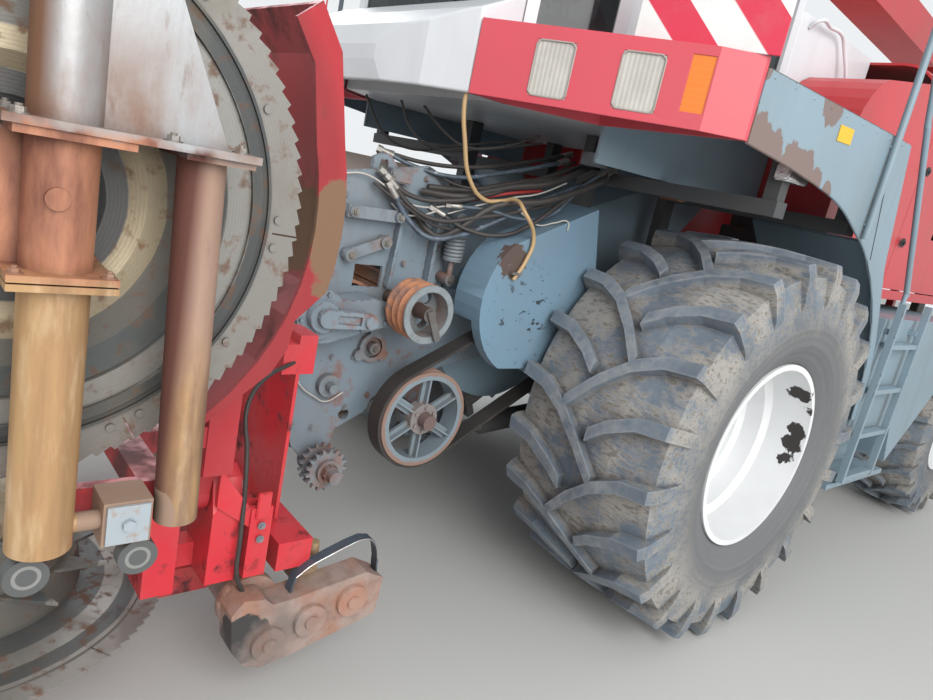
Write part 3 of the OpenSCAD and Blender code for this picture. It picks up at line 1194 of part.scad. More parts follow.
arm_w = 2 * sheet;
turret_foot = turret_z + seat_gap;
spout_hinge = [790, spout_low + 40];
bend_at = [spout_y + bend_r, spout_low + 40];
module spout_turret() {
    color(PAINT_RED) translate([0, spout_y, 0]) union() {
        translate([0, 0, turret_foot]) difference() {
            cylinder(h = 60 - 1, r = 262, $fn = 72);
            translate([0, 0, -5]) cylinder(h = 80, r = 200, $fn = 72);
        }
        both_sides() block([spout_w / 2 + gap, -220, turret_foot + 50], [spout_w / 2 + 30, -130, spout_low + 80]);
        wheel_drum(-spout_w / 2 - 30, spout_w / 2 + 30, 16, spout_hinge.x - spout_y, spout_hinge.y, 24);
    }
}

spout_fall = 4; // how far the spout slopes down to its end, in degrees
spout_deep = 260;
// The spout's bend and its long body, a box open at both ends
module spout_arm() {
    r_in = bend_r - spout_deep / 2;
    r_out = bend_r + spout_deep / 2;
    last = 90 - spout_fall;
    tip = spout_len * [cos(spout_fall), -sin(spout_fall)];
    inner = arc(bend_at, r_in, 180, last, 12);
    outer = arc(bend_at, r_out, 180, last, 12);
    color(PAINT_RED) union() {
        difference() {
            across(concat(outer, [outer[12] + tip], [inner[12] + tip], [for (i = [12:-1:0]) inner[i]]), -spout_w / 2, spout_w / 2);
            across(concat([[outer[0].x + sheet, outer[0].y - 5]], arc(bend_at, r_out - sheet, 180, last, 12),
                [outer[12] + tip + [10, -sheet]], [inner[12] + tip + [10, sheet]],
                [for (i = [12:-1:0]) bend_at + (inner[i] - bend_at) * (r_in + sheet) / r_in], [[inner[0].x - sheet, inner[0].y - 5]]),
                -spout_w / 2 + sheet, spout_w / 2 - sheet);
        }
        // Foot, hinge lugs and the pins of the flap
        difference() {
            block([-spout_w / 2, outer[0].x, spout_low + 5], [spout_w / 2, inner[0].x, spout_low + 45]);
            block([-spout_w / 2 + sheet, outer[0].x + sheet, spout_low], [spout_w / 2 - sheet, inner[0].x - sheet, spout_low + 50]);
        }
        both_sides() difference() {
            union() {
                wheel_drum(spout_w / 2 - 40, spout_w / 2, 32, spout_hinge.x, spout_hinge.y, 32);
                block([spout_w / 2 - 40, spout_hinge.x, spout_hinge.y - 32], [spout_w / 2, spout_hinge.x + 45, spout_hinge.y + 32]);
            }
            wheel_drum(spout_w / 2 - 50, spout_w / 2 + 5, 16 + seat_gap, spout_hinge.x, spout_hinge.y, 24);
        }
        both_sides() wheel_drum(spout_w / 2 - 5, spout_w / 2 + 24, 10, flap_pin.x, flap_pin.y, 24);
    }
}

// The flap at the spout's end that aims the crop
spout_end = bend_at + (bend_r + spout_deep / 2) * [cos(90 - spout_fall), sin(90 - spout_fall)]
    + spout_len * [cos(spout_fall), -sin(spout_fall)];
flap_pin = spout_end + [-60, -60];
module spout_flap() {
    color(PAINT_RED) union() {
        across([spout_end + [gap, 8], spout_end + [380, -72], spout_end + [400, -220], spout_end + [412, -220], spout_end + [390, -60],
            spout_end + [gap, 22]], -spout_w / 2 - gap - 5, spout_w / 2 + gap + 5);
        both_sides() difference() {
            across([spout_end + [-80, -20], spout_end + [gap, 22], spout_end + [390, -60], spout_end + [412, -220],
                spout_end + [20, -190], spout_end + [-80, -110]], spout_w / 2 + gap, spout_w / 2 + gap + sheet);
            wheel_drum(spout_w / 2, spout_w / 2 + 30, 10 + seat_gap, flap_pin.x, flap_pin.y, 24);
        }
    }
}

frame();
axles();
knuckle(LEFT);  // knuckle_left
knuckle(RIGHT);  // knuckle_right
rim_front(LEFT);  // rim_front_left
rim_front(RIGHT);  // rim_front_right
tyre_front(LEFT);  // tyre_front_left
tyre_front(RIGHT);  // tyre_front_right
rim_rear(LEFT);  // rim_rear_left
rim_rear(RIGHT);  // rim_rear_right
tyre_rear(LEFT);  // tyre_rear_left
tyre_rear(RIGHT);  // tyre_rear_right
engine();
body_panels();
rear_cabinet();
side_door(LEFT);  // side_door_left
side_door(RIGHT);  // side_door_right
tanks();
cab_shell();
cab_roof();
cab_glass();
cab_door();
door_glass();
cab_interior();
cowl();
light_bar();
lamps();
amber_lamps();
platform();
ladder();
railing();
marker_boards();
chopper();
drive_guard();
upper_pulley();
hoses();
feeder_housing();
feed_rolls();
feeder_gearcase();
feeder_linkage();
small_pulley();
big_pulley();
drive_belt();
header_sprocket();
lift_barrels();
lift_rods();
header_frame();
header_drive();
wing(LEFT);  // wing_left
wing(RIGHT);  // wing_right
wing_pipes(LEFT);  // wing_pipes_left
wing_pipes(RIGHT);  // wing_pipes_right
rotor_inner(LEFT);  // rotor_inner_left
rotor_inner(RIGHT);  // rotor_inner_right
rotor_outer(LEFT);  // rotor_outer_left
rotor_outer(RIGHT);  // rotor_outer_right
spout_turret();
spout_arm();
spout_flap();
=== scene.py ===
# %% [markdown]
# # A forage harvester with its header folded
#
# The machine drives towards -Y, its left side is +X and the ground is at
# Z = 0, all in metres. The CAD model brings every shape that moves, carries or
# covers. This script gives those shapes their paint, wear and mud, adds the
# small things that lie on them, and sets the light and the camera.

import math

import bmesh
import bpy
from mathutils import Matrix, Vector


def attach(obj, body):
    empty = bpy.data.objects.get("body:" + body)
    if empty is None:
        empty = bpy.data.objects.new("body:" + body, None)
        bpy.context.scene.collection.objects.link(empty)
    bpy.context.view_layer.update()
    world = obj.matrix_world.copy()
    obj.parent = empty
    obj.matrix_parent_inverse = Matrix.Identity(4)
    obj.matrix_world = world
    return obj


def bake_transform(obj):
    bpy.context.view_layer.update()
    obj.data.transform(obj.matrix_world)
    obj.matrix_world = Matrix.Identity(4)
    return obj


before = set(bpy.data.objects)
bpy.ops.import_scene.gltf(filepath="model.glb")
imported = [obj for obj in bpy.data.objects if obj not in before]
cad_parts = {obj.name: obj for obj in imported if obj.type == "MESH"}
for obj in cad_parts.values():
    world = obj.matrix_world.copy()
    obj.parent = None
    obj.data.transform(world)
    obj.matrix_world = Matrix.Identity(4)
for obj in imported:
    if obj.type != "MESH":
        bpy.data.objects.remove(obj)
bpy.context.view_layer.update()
scene = bpy.context.scene

# %% [markdown]
# ## The camera
#
# The picture was taken from head height beside the left drive tyre, looking
# back along the machine and held at a tilt. A camera could be aimed with
# constraints, but one matrix made from the three angles is exact and short.

# %% Camera
AZIMUTH, DOWN, ROLL = (math.radians(a) for a in (47.8, 13.8, 12.0))
CAMERA_AT = (2.78, -3.01, 1.82)
FOCAL_PIXELS, IMAGE_WIDTH, SENSOR_MM = 700, 933, 36
look = Vector((-math.sin(AZIMUTH) * math.cos(DOWN), math.cos(AZIMUTH) * math.cos(DOWN), -math.sin(DOWN)))
level = Vector((math.cos(AZIMUTH), math.sin(AZIMUTH), 0))
upright = level.cross(look)
side = math.cos(ROLL) * level + math.sin(ROLL) * upright
top = -math.sin(ROLL) * level + math.cos(ROLL) * upright
lens = bpy.data.cameras.new("camera")
lens.sensor_width = SENSOR_MM
lens.lens = FOCAL_PIXELS / IMAGE_WIDTH * SENSOR_MM
camera = bpy.data.objects.new("camera", lens)
scene.collection.objects.link(camera)
camera.matrix_world = Matrix.Translation(CAMERA_AT) @ Matrix((side, top, -look)).transposed().to_4x4()
scene.camera = camera
print("camera with a lens of", round(lens.lens, 1), "mm")

# %% [markdown]
# ## Floor, sky and lamps
#
# The light is that of an even grey sky. A pale world gives nearly all of it,
# and two wide lamps shape it a little. Rays from the camera, and those that are
# mirrored or let through, see a pale backdrop, so that the light on the machine
# can stay low enough for white paint to keep its shade.

# %% Studio
scene.view_settings.view_transform = "Standard"
BACKDROP, SKY_LIGHT = 0.90, 0.86
FLOOR_WIDTH, FLOOR_Z = 80, -0.002


def pale_for_eyes(tree, lit, seen):
    """Value lit for light rays, value seen for the camera, mirrors and glass."""
    rays = tree.nodes.new("ShaderNodeLightPath")
    eyes = rays.outputs["Is Camera Ray"]
    for name in ("Is Glossy Ray", "Is Transmission Ray"):
        either = tree.nodes.new("ShaderNodeMath")
        either.operation = "MAXIMUM"
        tree.links.new(eyes, either.inputs[0])
        tree.links.new(rays.outputs[name], either.inputs[1])
        eyes = either.outputs[0]
    mix = tree.nodes.new("ShaderNodeMapRange")
    tree.links.new(eyes, mix.inputs[0])
    mix.inputs["To Min"].default_value, mix.inputs["To Max"].default_value = lit, seen
    return mix.outputs[0]


sky = bpy.data.worlds.new("even sky")
sky.use_nodes = True
back = sky.node_tree.nodes["Background"]
back.inputs["Color"].default_value = (0.95, 0.98, 1.0, 1)
sky.node_tree.links.new(pale_for_eyes(sky.node_tree, SKY_LIGHT, BACKDROP), back.inputs["Strength"])
scene.world = sky


def soft_lamp(name, place, aim, size, watts, tint):
    data = bpy.data.lights.new(name, "AREA")
    data.size, data.energy, data.color = size, watts, tint
    lamp = bpy.data.objects.new(name, data)
    lamp.location = place
    lamp.rotation_euler = (Vector(aim) - Vector(place)).to_track_quat("-Z", "Y").to_euler()
    scene.collection.objects.link(lamp)


soft_lamp("open_side", (8.5, -3.5, 5.5), (0.8, -0.6, 1.0), 6.5, 800, (1.0, 0.99, 0.97))
soft_lamp("far_side", (-7.5, 3.0, 6.5), (0, 1.0, 1.2), 7.0, 380, (0.95, 0.98, 1.0))
bpy.ops.mesh.primitive_plane_add(size=FLOOR_WIDTH, location=(0, 0, FLOOR_Z))
floor = bpy.context.object
floor.name = "floor"

# %% [markdown]
# ## A small bench for finishes
#
# Every finish is a tree of noise, distance and edge masks. Wiring such trees
# by hand hides the idea in clicks, so this class keeps one tree and adds steps
# to it, and a recipe then reads from top to bottom. Places are read in object
# space, so mud and rust stay where they are when a wheel rolls or a door opens.
# In the recipes that follow, p is the finish that lies on the bench.

# %% The bench
class Finish:
    """A material's tree of nodes; the name of its slot is stored but not used."""

    def __init__(self, name, color, rough=0.5, metal=0.0, slot="interior_plastic"):
        self.material = bpy.data.materials.new(name)
        self.material.use_nodes = True
        self.tree = self.material.node_tree
        self.shader = self.tree.nodes["Principled BSDF"]
        self.color, self.rough, self.metal, self.slot = color, rough, metal, slot
        self.set("Base Color", color)
        self.set("Roughness", rough)
        self.set("Metallic", metal)
        self.place = self.step("TexCoord", out="Object")

    def plug(self, value, socket):
        if isinstance(value, bpy.types.NodeSocket):
            self.tree.links.new(value, socket)
        elif socket.type == "RGBA":
            socket.default_value = (*value[:3], 1)
        else:
            socket.default_value = value

    def set(self, name, value):
        self.plug(value, self.shader.inputs[name])

    def step(self, kind, *values, out=0, **settings):
        node = self.tree.nodes.new("ShaderNode" + kind)
        for key, value in settings.items():
            setattr(node, key, value)
        for socket, value in zip(node.inputs, values):
            if value is not None:
                self.plug(value, socket)
        return node.outputs[out]

    def math(self, operation, a, b=0.0):
        return self.step("Math", a, b, operation=operation)

    def add(self, a, b):
        return self.math("ADD", a, b)

    def less(self, a, b):
        return self.math("SUBTRACT", a, b)

    def both(self, *masks):
        """The product of masks, which is 1 only where all of them are."""
        result, *others = masks
        for mask in others:
            result = self.math("MULTIPLY", result, mask)
        return result

    def wave(self, value, turns):
        return self.math("SINE", self.both(value, turns))

    def between(self, value, low, high):
        """0 below low, 1 above high, a straight ramp between; low may be the larger."""
        return self.step("MapRange", value, low, high, 0.0, 1.0)

    def noise(self, scale, detail=4.0, stretch=(1, 1, 1), shift=(0, 0, 0)):
        place = self.step("Mapping", self.place, shift, (0, 0, 0), stretch)
        return self.step("TexNoise", place, None, scale, detail, 0.6)

    def patches(self, scale, detail, low, high, **placing):
        """Noise that a ramp from low to high cuts into patches."""
        return self.between(self.noise(scale, detail, **placing), low, high)

    def axis(self, letter):
        return self.step("SeparateXYZ", self.place, out="XYZ".index(letter))

    def aside(self, letter):
        """Distance from the machine's middle, the same on both sides of it."""
        return self.math("ABSOLUTE", self.axis(letter))

    def off_line(self, letter, a, b, mirrored=False):
        """Distance from a line along one axis, which passes the other two at a and b."""
        first, second = [k for k in "XYZ" if k != letter]
        da = self.less(self.aside(first) if mirrored else self.axis(first), a)
        db = self.less(self.axis(second), b)
        return self.math("SQRT", self.add(self.both(da, da), self.both(db, db)))

    def off_point(self, point):
        return self.step("VectorMath", self.place, point, operation="DISTANCE", out=1)

    def near(self, point, reach):
        """1 close to a point, and 0 from its reach on."""
        return self.step("MapRange", self.off_point(point), reach * 0.4, reach, 1.0, 0.0)

    def edges(self, width):
        """1 on the sharp edges of a shape, 0 on its flats."""
        soft = self.step("Bevel", width, samples=3)
        hard = self.step("NewGeometry", out="Normal")
        dot = self.step("VectorMath", soft, hard, operation="DOT_PRODUCT", out=1)
        return self.between(self.less(1.0, dot), 0.01, 0.12)

    def corners(self, reach):
        """1 deep in corners and under things, where shade falls, and 0 in the open; the finishes paint shade with it.
        """
        open_sky = self.step("AmbientOcclusion", (1, 1, 1), reach, samples=4, out="AO")
        return self.between(self.less(1.0, open_sky), 0.25, 0.85)

    def mix(self, mask, a, b):
        node = self.tree.nodes.new("ShaderNodeMix")
        for socket, value in ((node.inputs[0], mask), (node.inputs[2], a), (node.inputs[3], b)):
            self.plug(value, socket)
        return node.outputs[0]

    def cover(self, mask, color, rough=None, metal=None, share=None):
        """Lays a colour over what is there, where the mask is 1, or a share of it."""
        if share is not None:
            mask = self.both(mask, share)
        node = self.tree.nodes.new("ShaderNodeMix")
        node.data_type = "RGBA"
        self.plug(mask, node.inputs[0])
        self.plug(self.color, node.inputs[6])
        self.plug(color, node.inputs[7])
        self.color = node.outputs[2]
        self.set("Base Color", self.color)
        if rough is not None:
            self.rough = self.mix(mask, self.rough, rough)
            self.set("Roughness", self.rough)
        if metal is not None:
            self.metal = self.mix(mask, self.metal, metal)
            self.set("Metallic", self.metal)

    def bump(self, height, strength, distance):
        node = self.tree.nodes.new("ShaderNodeBump")
        node.inputs["Strength"].default_value = strength
        node.inputs["Distance"].default_value = distance
        self.plug(height, node.inputs["Height"])
        self.set("Normal", node.outputs[0])


print("bench ready")

# %% [markdown]
# ## Where the round things turn
#
# Rubber, rims, rotors and pulleys are worn in rings. Their recipes need the
# place of each axis, so these few numbers of the CAD model come before them.

# %% Axes of wheels, rotors and pulleys
FRONT_R, REAR_R, REAR_AXLE_Y = 0.895, 0.70, 3.3
ROTOR_Y, FOLDED_ROTOR_Z, LOW_ROTOR_X = -2.82, 1.63, 0.59
BIG_PULLEY_AXIS = (-1.275, 0.832)
SMALL_PULLEY_AXIS = (-1.383, 1.283)
JOINT_BOX_AXIS = (-2.603, 1.004)
print("front wheels of radius", FRONT_R, "and rear wheels of radius", REAR_R)

# %% [markdown]
# ## Paint, and how it wears
#
# All painted sheet lives the same life: a slow change of tone, dust, grime and painted shade in the corners, chips that
# show dark primer and then rust along the edges, and runs of dirt that hang down. An image of worn paint would repeat
# on a machine this large, so the wear is worked out from noise and from the shape itself.

# %% Painted sheet
RUST = (0.20, 0.075, 0.032)
PRIMER = (0.060, 0.045, 0.042)
DUST = (0.34, 0.30, 0.25)


def darker(color, share):
    return tuple(share * c for c in color)


def paint(name, color, chips=0.5, dirt_and_shade=0.5, rough=0.38, dust_and_shade_color=DUST, slot="red_paint"):
    """Painted sheet; chips, and grime together with painted shade in corners, run from 0 (new) to 1 (worn out)."""
    p = Finish(name, color, rough, slot=slot)
    p.cover(p.patches(1.3, 3, 0.35, 0.75), darker(color, 0.84))
    p.cover(p.patches(7.0, 5, 0.5, 0.78, stretch=(1, 1, 0.16)), darker(dust_and_shade_color, 0.5), 0.7, share=0.42 * dirt_and_shade)
    p.cover(p.patches(2.6, 6, 0.45, 0.8), dust_and_shade_color, 0.7, share=0.45 * dirt_and_shade)
    # Painted shade with grime: corners and the undersides of things are darkened with a dark copy of the dust colour.
    p.cover(p.both(p.corners(0.11), p.patches(5, 4, 0.2, 0.55)), darker(dust_and_shade_color, 0.3), 0.85, share=0.8 * dirt_and_shade)
    worn_edges = p.both(p.edges(0.010), 0.20 * chips + 0.04)
    worn_areas = p.both(p.noise(3.4, 3, shift=(3, 1, 2)), 0.36 * chips)
    wear = p.add(p.noise(38, 6), p.add(worn_edges, worn_areas))
    flakes = p.between(wear, 0.84, 0.87)
    p.cover(flakes, PRIMER, 0.75)
    p.cover(p.between(wear, 0.90, 0.98), RUST, 0.9)
    p.bump(p.less(p.both(p.noise(45, 3), 0.12), flakes), 0.3, 0.002)
    return p


red = paint("worn red paint", (0.56, 0.035, 0.045), chips=0.40, dirt_and_shade=0.35, rough=0.33)
lamp_red = paint("sun-faded red moulding", (0.66, 0.085, 0.115), chips=0.04, dirt_and_shade=0.2, rough=0.42)
white = paint("white paint", (0.72, 0.74, 0.77), chips=0.16, dirt_and_shade=0.22, rough=0.3, dust_and_shade_color=(0.42, 0.38, 0.33),
              slot="white_paint")
dark = paint("dark chassis paint", (0.058, 0.063, 0.068), chips=0.4, dirt_and_shade=0.8, rough=0.55,
             dust_and_shade_color=(0.16, 0.135, 0.11))
print("paints:", [f.material.name for f in (red, lamp_red, white, dark)])

# %% [markdown]
# ## Blue-grey paint in four states
#
# The frame parts share one blue-grey, but not one life. The arch has flaked to
# brown along its lower edge, the feeder is greasy and shows red primer, the
# pulley's rim is rusty where the belt ran, and stones scratched the guard.

# %% Blue-grey paint
FLAKED = (  # y, z and reach of bare spots on the arch
    (-0.79, 2.105, 0.15), (-0.67, 2.100, 0.11), (-0.53, 2.090, 0.10), (-0.42, 2.075, 0.12),
    (-0.30, 2.055, 0.08), (-0.18, 2.035, 0.06), (-0.33, 2.335, 0.12), (-0.85, 2.335, 0.07))
SKIRT_X = 1.49
p = grey = paint("worn blue-grey paint", (0.235, 0.325, 0.385), chips=0.55, dirt_and_shade=0.45, slot="grey_paint")
flaked = 0.0
for y, z, reach in FLAKED:
    flaked = p.math("MAXIMUM", flaked, p.near((SKIRT_X, y, z), reach))
ragged = p.between(p.add(flaked, p.both(p.noise(22, 7), 1.1)), 1.02, 1.10)
p.cover(p.both(ragged, 0.85, p.between(flaked, 0.02, 0.10)), (0.20, 0.125, 0.10), 0.85)

p = feeder_grey = paint("greasy blue-grey paint", (0.215, 0.275, 0.325), chips=0.75, dirt_and_shade=0.75, rough=0.5,
                        dust_and_shade_color=(0.30, 0.24, 0.19))
primer_red = p.add(p.noise(2.4, 7, shift=(2, 5, 1)), p.both(p.noise(24, 5), 0.25))
p.cover(p.between(primer_red, 0.70, 0.76), (0.24, 0.105, 0.075), 0.8, share=0.75)
upward = p.step("SeparateXYZ", p.step("NewGeometry", out="Normal"), out=2)
lid = p.both(p.between(upward, 0.35, 0.55), p.between(p.aside("X"), 0.435, 0.425))
p.cover(lid, (0.19, 0.135, 0.10), 0.8, share=0.85)

p = pulley_grey = paint("grey pulley casting", (0.22, 0.28, 0.32), chips=0.35, dirt_and_shade=0.6, rough=0.45,
                        dust_and_shade_color=(0.26, 0.21, 0.17))
from_axis = p.off_line("X", *BIG_PULLEY_AXIS)
belt_rim = p.between(p.add(from_axis, p.both(p.noise(30, 5), 0.02)), 0.196, 0.203)
p.cover(belt_rim, (0.27, 0.15, 0.105), 0.85, share=0.85)
p.cover(p.between(from_axis, 0.075, 0.068), (0.24, 0.185, 0.165), 0.75, share=0.7)
p.cover(p.between(from_axis, 0.036, 0.032), (0.14, 0.085, 0.075), 0.75, share=0.8)

p = guard_grey = paint("scratched blue-grey paint", (0.175, 0.280, 0.370), chips=0.30, dirt_and_shade=0.20, rough=0.33)
scratches = p.patches(42, 2, 0.64, 0.66, stretch=(1, 0.55, 1), shift=(7, 0, 3))
p.cover(p.both(scratches, p.near((0.770, -0.900, 1.300), 0.26)), (0.035, 0.045, 0.055), 0.7)
peeled = p.add(p.near((0.766, -1.035, 1.525), 0.13), p.both(p.noise(30, 6), 1.1))
p.cover(p.between(peeled, 1.28, 1.34), (0.10, 0.070, 0.060), 0.8)
print("blue-greys:", [f.material.name for f in (grey, feeder_grey, pulley_grey, guard_grey)])

# %% [markdown]
# ## Bare, rusty and polished metal
#
# Crop polishes the steel that it slides over and leaves brown stains beside
# it, while steel that stands still in the rain goes orange. One recipe with a
# share of rust covers both. The small grooved wheel and the chain case then get
# their own rings and stains, placed by distance from an axis or a point.

# %% Steel
def steel(name, base, stain, amount=0.6, rough=0.55, metal=0.7, scale=6.0, slot="worn_steel"):
    """Steel whose rust patches cover about the given share of it."""
    p = Finish(name, base, rough, metal, slot)
    patch = p.noise(scale, 8)
    p.cover(p.between(patch, 0.70 - 0.42 * amount, 0.86 - 0.42 * amount), stain, 0.85, 0.0)
    p.cover(p.patches(19, 5, 0.45, 0.8), darker(stain, 0.42), 0.95, share=0.55)
    # Painted shade: near-black darkening in corners and under things.
    p.cover(p.corners(0.06), (0.03, 0.02, 0.015), 0.9, share=0.7)
    p.bump(p.add(patch, p.both(p.noise(90, 3), 0.4)), 0.3, 0.002)
    return p


rust = steel("orange rusted steel", (0.34, 0.25, 0.20), (0.34, 0.15, 0.085), 0.8, 0.7, 0.3)
linkage = steel("oily linkage steel", (0.24, 0.28, 0.31), (0.27, 0.15, 0.115), 0.5, 0.55, 0.25)
engine_iron = steel("oily cast iron", (0.075, 0.075, 0.075), (0.12, 0.075, 0.05), 0.4, 0.5, 0.4)
rod_steel = steel("bright rod steel", (0.62, 0.61, 0.59), (0.30, 0.16, 0.08), 0.12, 0.2, 0.9)
zinc = steel("zinc-plated bolts", (0.36, 0.35, 0.33), (0.20, 0.11, 0.06), 0.35, 0.4, 0.8, scale=22)
chrome = steel("bright plated steel", (0.72, 0.72, 0.71), (0.33, 0.2, 0.12), 0.05, 0.12, 1.0)

p = small_wheel = steel("grey wheel with rusty grooves", (0.27, 0.31, 0.33), (0.19, 0.15, 0.13), 0.35, 0.5, 0.2,
                        scale=14)
from_axis = p.off_line("X", *SMALL_PULLEY_AXIS)
grooves = p.both(p.between(from_axis, 0.088, 0.092), p.between(p.axis("X"), 0.7345, 0.7315))
p.cover(grooves, (0.42, 0.185, 0.095), 0.75, 0.0)
p.cover(p.both(grooves, p.patches(20, 6, 0.45, 0.62)), (0.22, 0.125, 0.10), 0.8, 0.0)
p.cover(p.between(from_axis, 0.036, 0.031), (0.115, 0.075, 0.062), 0.7, 0.1)
p.cover(p.between(p.axis("X"), 0.7435, 0.7445), (0.15, 0.14, 0.135), 0.5, 0.3, share=0.85)

p = drive_rust = steel("brown rusted casting", (0.36, 0.27, 0.235), (0.34, 0.185, 0.135), 0.62, 0.7, 0.05)
black_end = p.both(p.near((1.05, -2.115, 0.300), 0.115), p.noise(22, 5))
p.cover(p.between(black_end, 0.16, 0.20), (0.045, 0.042, 0.042), 0.6)
p.cover(p.near((0.92, -1.87, 0.46), 0.10), (0.33, 0.225, 0.115), 0.7, share=0.85)
for bearing in ((1.085, -2.035, 0.268), (1.085, -1.739, 0.346)):
    p.cover(p.both(p.near(bearing, 0.085), p.noise(12, 5)), (0.45, 0.20, 0.125), 0.75)
p.cover(p.patches(2.6, 5, 0.5, 0.62, shift=(4, 0, 1)), (0.20, 0.165, 0.15), 0.6, share=0.85)
METALS = (rust, linkage, engine_iron, rod_steel, zinc, chrome, small_wheel, drive_rust)
print("metals:", [f.material.name for f in METALS])

# %% [markdown]
# ## Rubber, glass, lamps, boards and cloth
#
# These are smooth or woven, so each gets one clear pattern instead of rust:
# ribs in the lenses, grain in the plastic, a weave in the cloth, and slanting
# stripes on the boards, which come from the fraction of a slanted distance
# rather than from an image.

# %% Mouldings and cloth
p = hose_rubber = Finish("black rubber", (0.018, 0.018, 0.02), 0.5, slot="hose_rubber")
p.cover(p.noise(9, 5), (0.12, 0.10, 0.085), 0.8, share=0.5)

p = glass = Finish("tinted glass", (0.018, 0.024, 0.027), 0.06)
p.set("Alpha", 0.66)
p.cover(p.patches(2.2, 5, 0.5, 0.85), (0.20, 0.19, 0.17), 0.35, share=0.5)

p = plastic = Finish("dark grained plastic", (0.028, 0.028, 0.03), 0.6)
p.bump(p.noise(160, 2), 0.3, 0.001)
p.cover(p.patches(3, 4, 0.5, 0.8), (0.12, 0.11, 0.10), 0.8, share=0.35)

p = lens_clear = Finish("clear ribbed lens", (0.50, 0.48, 0.44), 0.14)
along = p.less(p.both(p.aside("X"), 0.896), p.both(p.axis("Y"), -0.444))
ribs = p.wave(along, 380.0)
p.cover(p.math("ABSOLUTE", ribs), (0.38, 0.36, 0.33), share=0.30)
p.cover(p.patches(9, 4, 0.42, 0.62), (0.66, 0.64, 0.59), share=0.40)
p.bump(ribs, 0.25, 0.003)

p = amber = Finish("amber lens", (0.78, 0.22, 0.035), 0.22, slot="amber_lens")
bars = p.wave(p.axis("Z"), 300.0)
p.cover(p.math("ABSOLUTE", bars), (0.55, 0.11, 0.015), share=0.15)
p.bump(bars, 0.12, 0.002)

p = board = Finish("striped board", (0.74, 0.74, 0.73), 0.4)
slant = p.add(p.axis("Z"), p.both(p.aside("X"), 1.15))
p.cover(p.between(p.math("FRACT", p.both(slant, 3.3)), 0.49, 0.51), (0.62, 0.035, 0.075))
p.cover(p.patches(5, 6, 0.5, 0.8), DUST, 0.7, share=0.35)

p = seat_cloth = Finish("grey seat cloth", (0.075, 0.08, 0.09), 0.9)
weave = p.both(p.wave(p.axis("X"), 1400.0), p.wave(p.axis("Z"), 1400.0))
p.cover(p.between(weave, -0.2, 0.6), (0.12, 0.125, 0.135))
p.bump(weave, 0.4, 0.001)
MOULDINGS = (hose_rubber, glass, plastic, lens_clear, amber, board, seat_cloth)
print("mouldings:", [f.material.name for f in MOULDINGS])

# %% [markdown]
# ## Tyres
#
# Tyre rubber is grey with a bluish tint, which is a painted reflection of the sky, and carries tan mud low between its
# lugs, with a smooth brown-grey wall inside the bead ring. All of that depends only on the distance from the wheel's
# own axis, so one recipe takes that axis and works for every wheel and every turn of it. Painted shade darkens the
# hollows between the lugs.

# %% Tyre rubber
def tyre(name, axle_y, tread_r, rim_r, lug):
    """Rubber about an axis along X, with mud between lugs of the given height."""
    # The base is grey rubber whose bluish tint is a painted reflection of the sky.
    p = Finish(name, (0.150, 0.190, 0.235), 0.55)
    radius = p.off_line("X", axle_y, tread_r)
    p.cover(p.patches(26, 8, 0.44, 0.66), (0.25, 0.265, 0.28), 0.7, share=0.6)
    p.cover(p.patches(3.2, 6, 0.42, 0.62), (0.085, 0.105, 0.135), 0.5, share=0.55)
    p.cover(p.between(radius, tread_r - 0.16, tread_r - 0.30), (0.140, 0.138, 0.138), 0.65, share=0.85)
    low_between = p.both(p.between(radius, tread_r - lug * 0.35, tread_r - lug * 0.95),
                         p.between(radius, tread_r - 0.34, tread_r - 0.2))
    fibres = p.noise(55, 6, (0.35, 1, 1))
    mud = p.both(low_between, p.between(p.add(p.noise(4, 5), p.both(fibres, 0.6)), 0.70, 0.86))
    p.cover(mud, (0.36, 0.335, 0.30), 0.95, share=0.85)
    p.cover(p.both(mud, p.between(fibres, 0.52, 0.62)), (0.13, 0.115, 0.10), 0.95, share=0.7)
    worn_tops = p.both(p.between(radius, tread_r - 0.012, tread_r - 0.002), p.patches(22, 6, 0.35, 0.7))
    p.cover(worn_tops, (0.33, 0.345, 0.35), 0.8, share=0.7)
    p.cover(p.both(p.edges(0.012), p.patches(12, 4, 0.3, 0.6)), (0.36, 0.37, 0.38), 0.8, share=0.7)
    # Painted shade: the hollows between the lugs and beside the rim are darkened.
    p.cover(p.corners(0.07), (0.042, 0.039, 0.036), 0.9, share=0.85)
    band = p.both(p.between(radius, rim_r + 0.01, rim_r + 0.03), p.between(radius, rim_r + 0.22, rim_r + 0.18))
    ripple = p.both(p.wave(radius, 190.0), band, 0.25)
    p.bump(p.add(ripple, p.add(p.both(p.noise(60, 5), 0.5), p.both(mud, 0.8))), 0.45, 0.006)
    return p


front_tyre = tyre("front tyre rubber", 0.0, FRONT_R, 0.432, 0.046)
rear_tyre = tyre("rear tyre rubber", REAR_AXLE_Y, REAR_R, 0.326, 0.036)
print("tyres:", front_tyre.material.name, rear_tyre.material.name)

# %% [markdown]
# ## Wheel rims
#
# The rims are white, with a few large chips on the left front one and rust
# freckles where stones hit. The chips are placed by distance from a point, and
# noise frays their outline.

# %% Rim paint
CHIPS = (  # middle and radius
    ((1.452, 0.308, 1.157), 0.050), ((1.456, 0.394, 0.960), 0.046), ((1.453, 0.404, 0.895), 0.050),
    ((1.456, 0.390, 0.815), 0.030), ((1.500, 0.350, 1.080), 0.020), ((1.34, -0.28, 0.60), 0.03))
FRAY = 0.11
p = rim_paint = paint("white rim paint", (0.82, 0.83, 0.84), chips=0.10, dirt_and_shade=0.12, rough=0.35,
                      dust_and_shade_color=(0.38, 0.34, 0.30), slot="white_paint")
frayed = p.both(p.noise(24, 6), FRAY)
for spot, radius in CHIPS:
    away = p.add(p.off_point(spot), frayed)
    p.cover(p.between(away, radius + 0.057, radius + 0.053), (0.035, 0.03, 0.028), 0.7)
p.cover(p.patches(30, 4, 0.74, 0.78, shift=(1, 2, 0)), RUST, 0.9)
print("rim paint with", len(CHIPS), "chips")
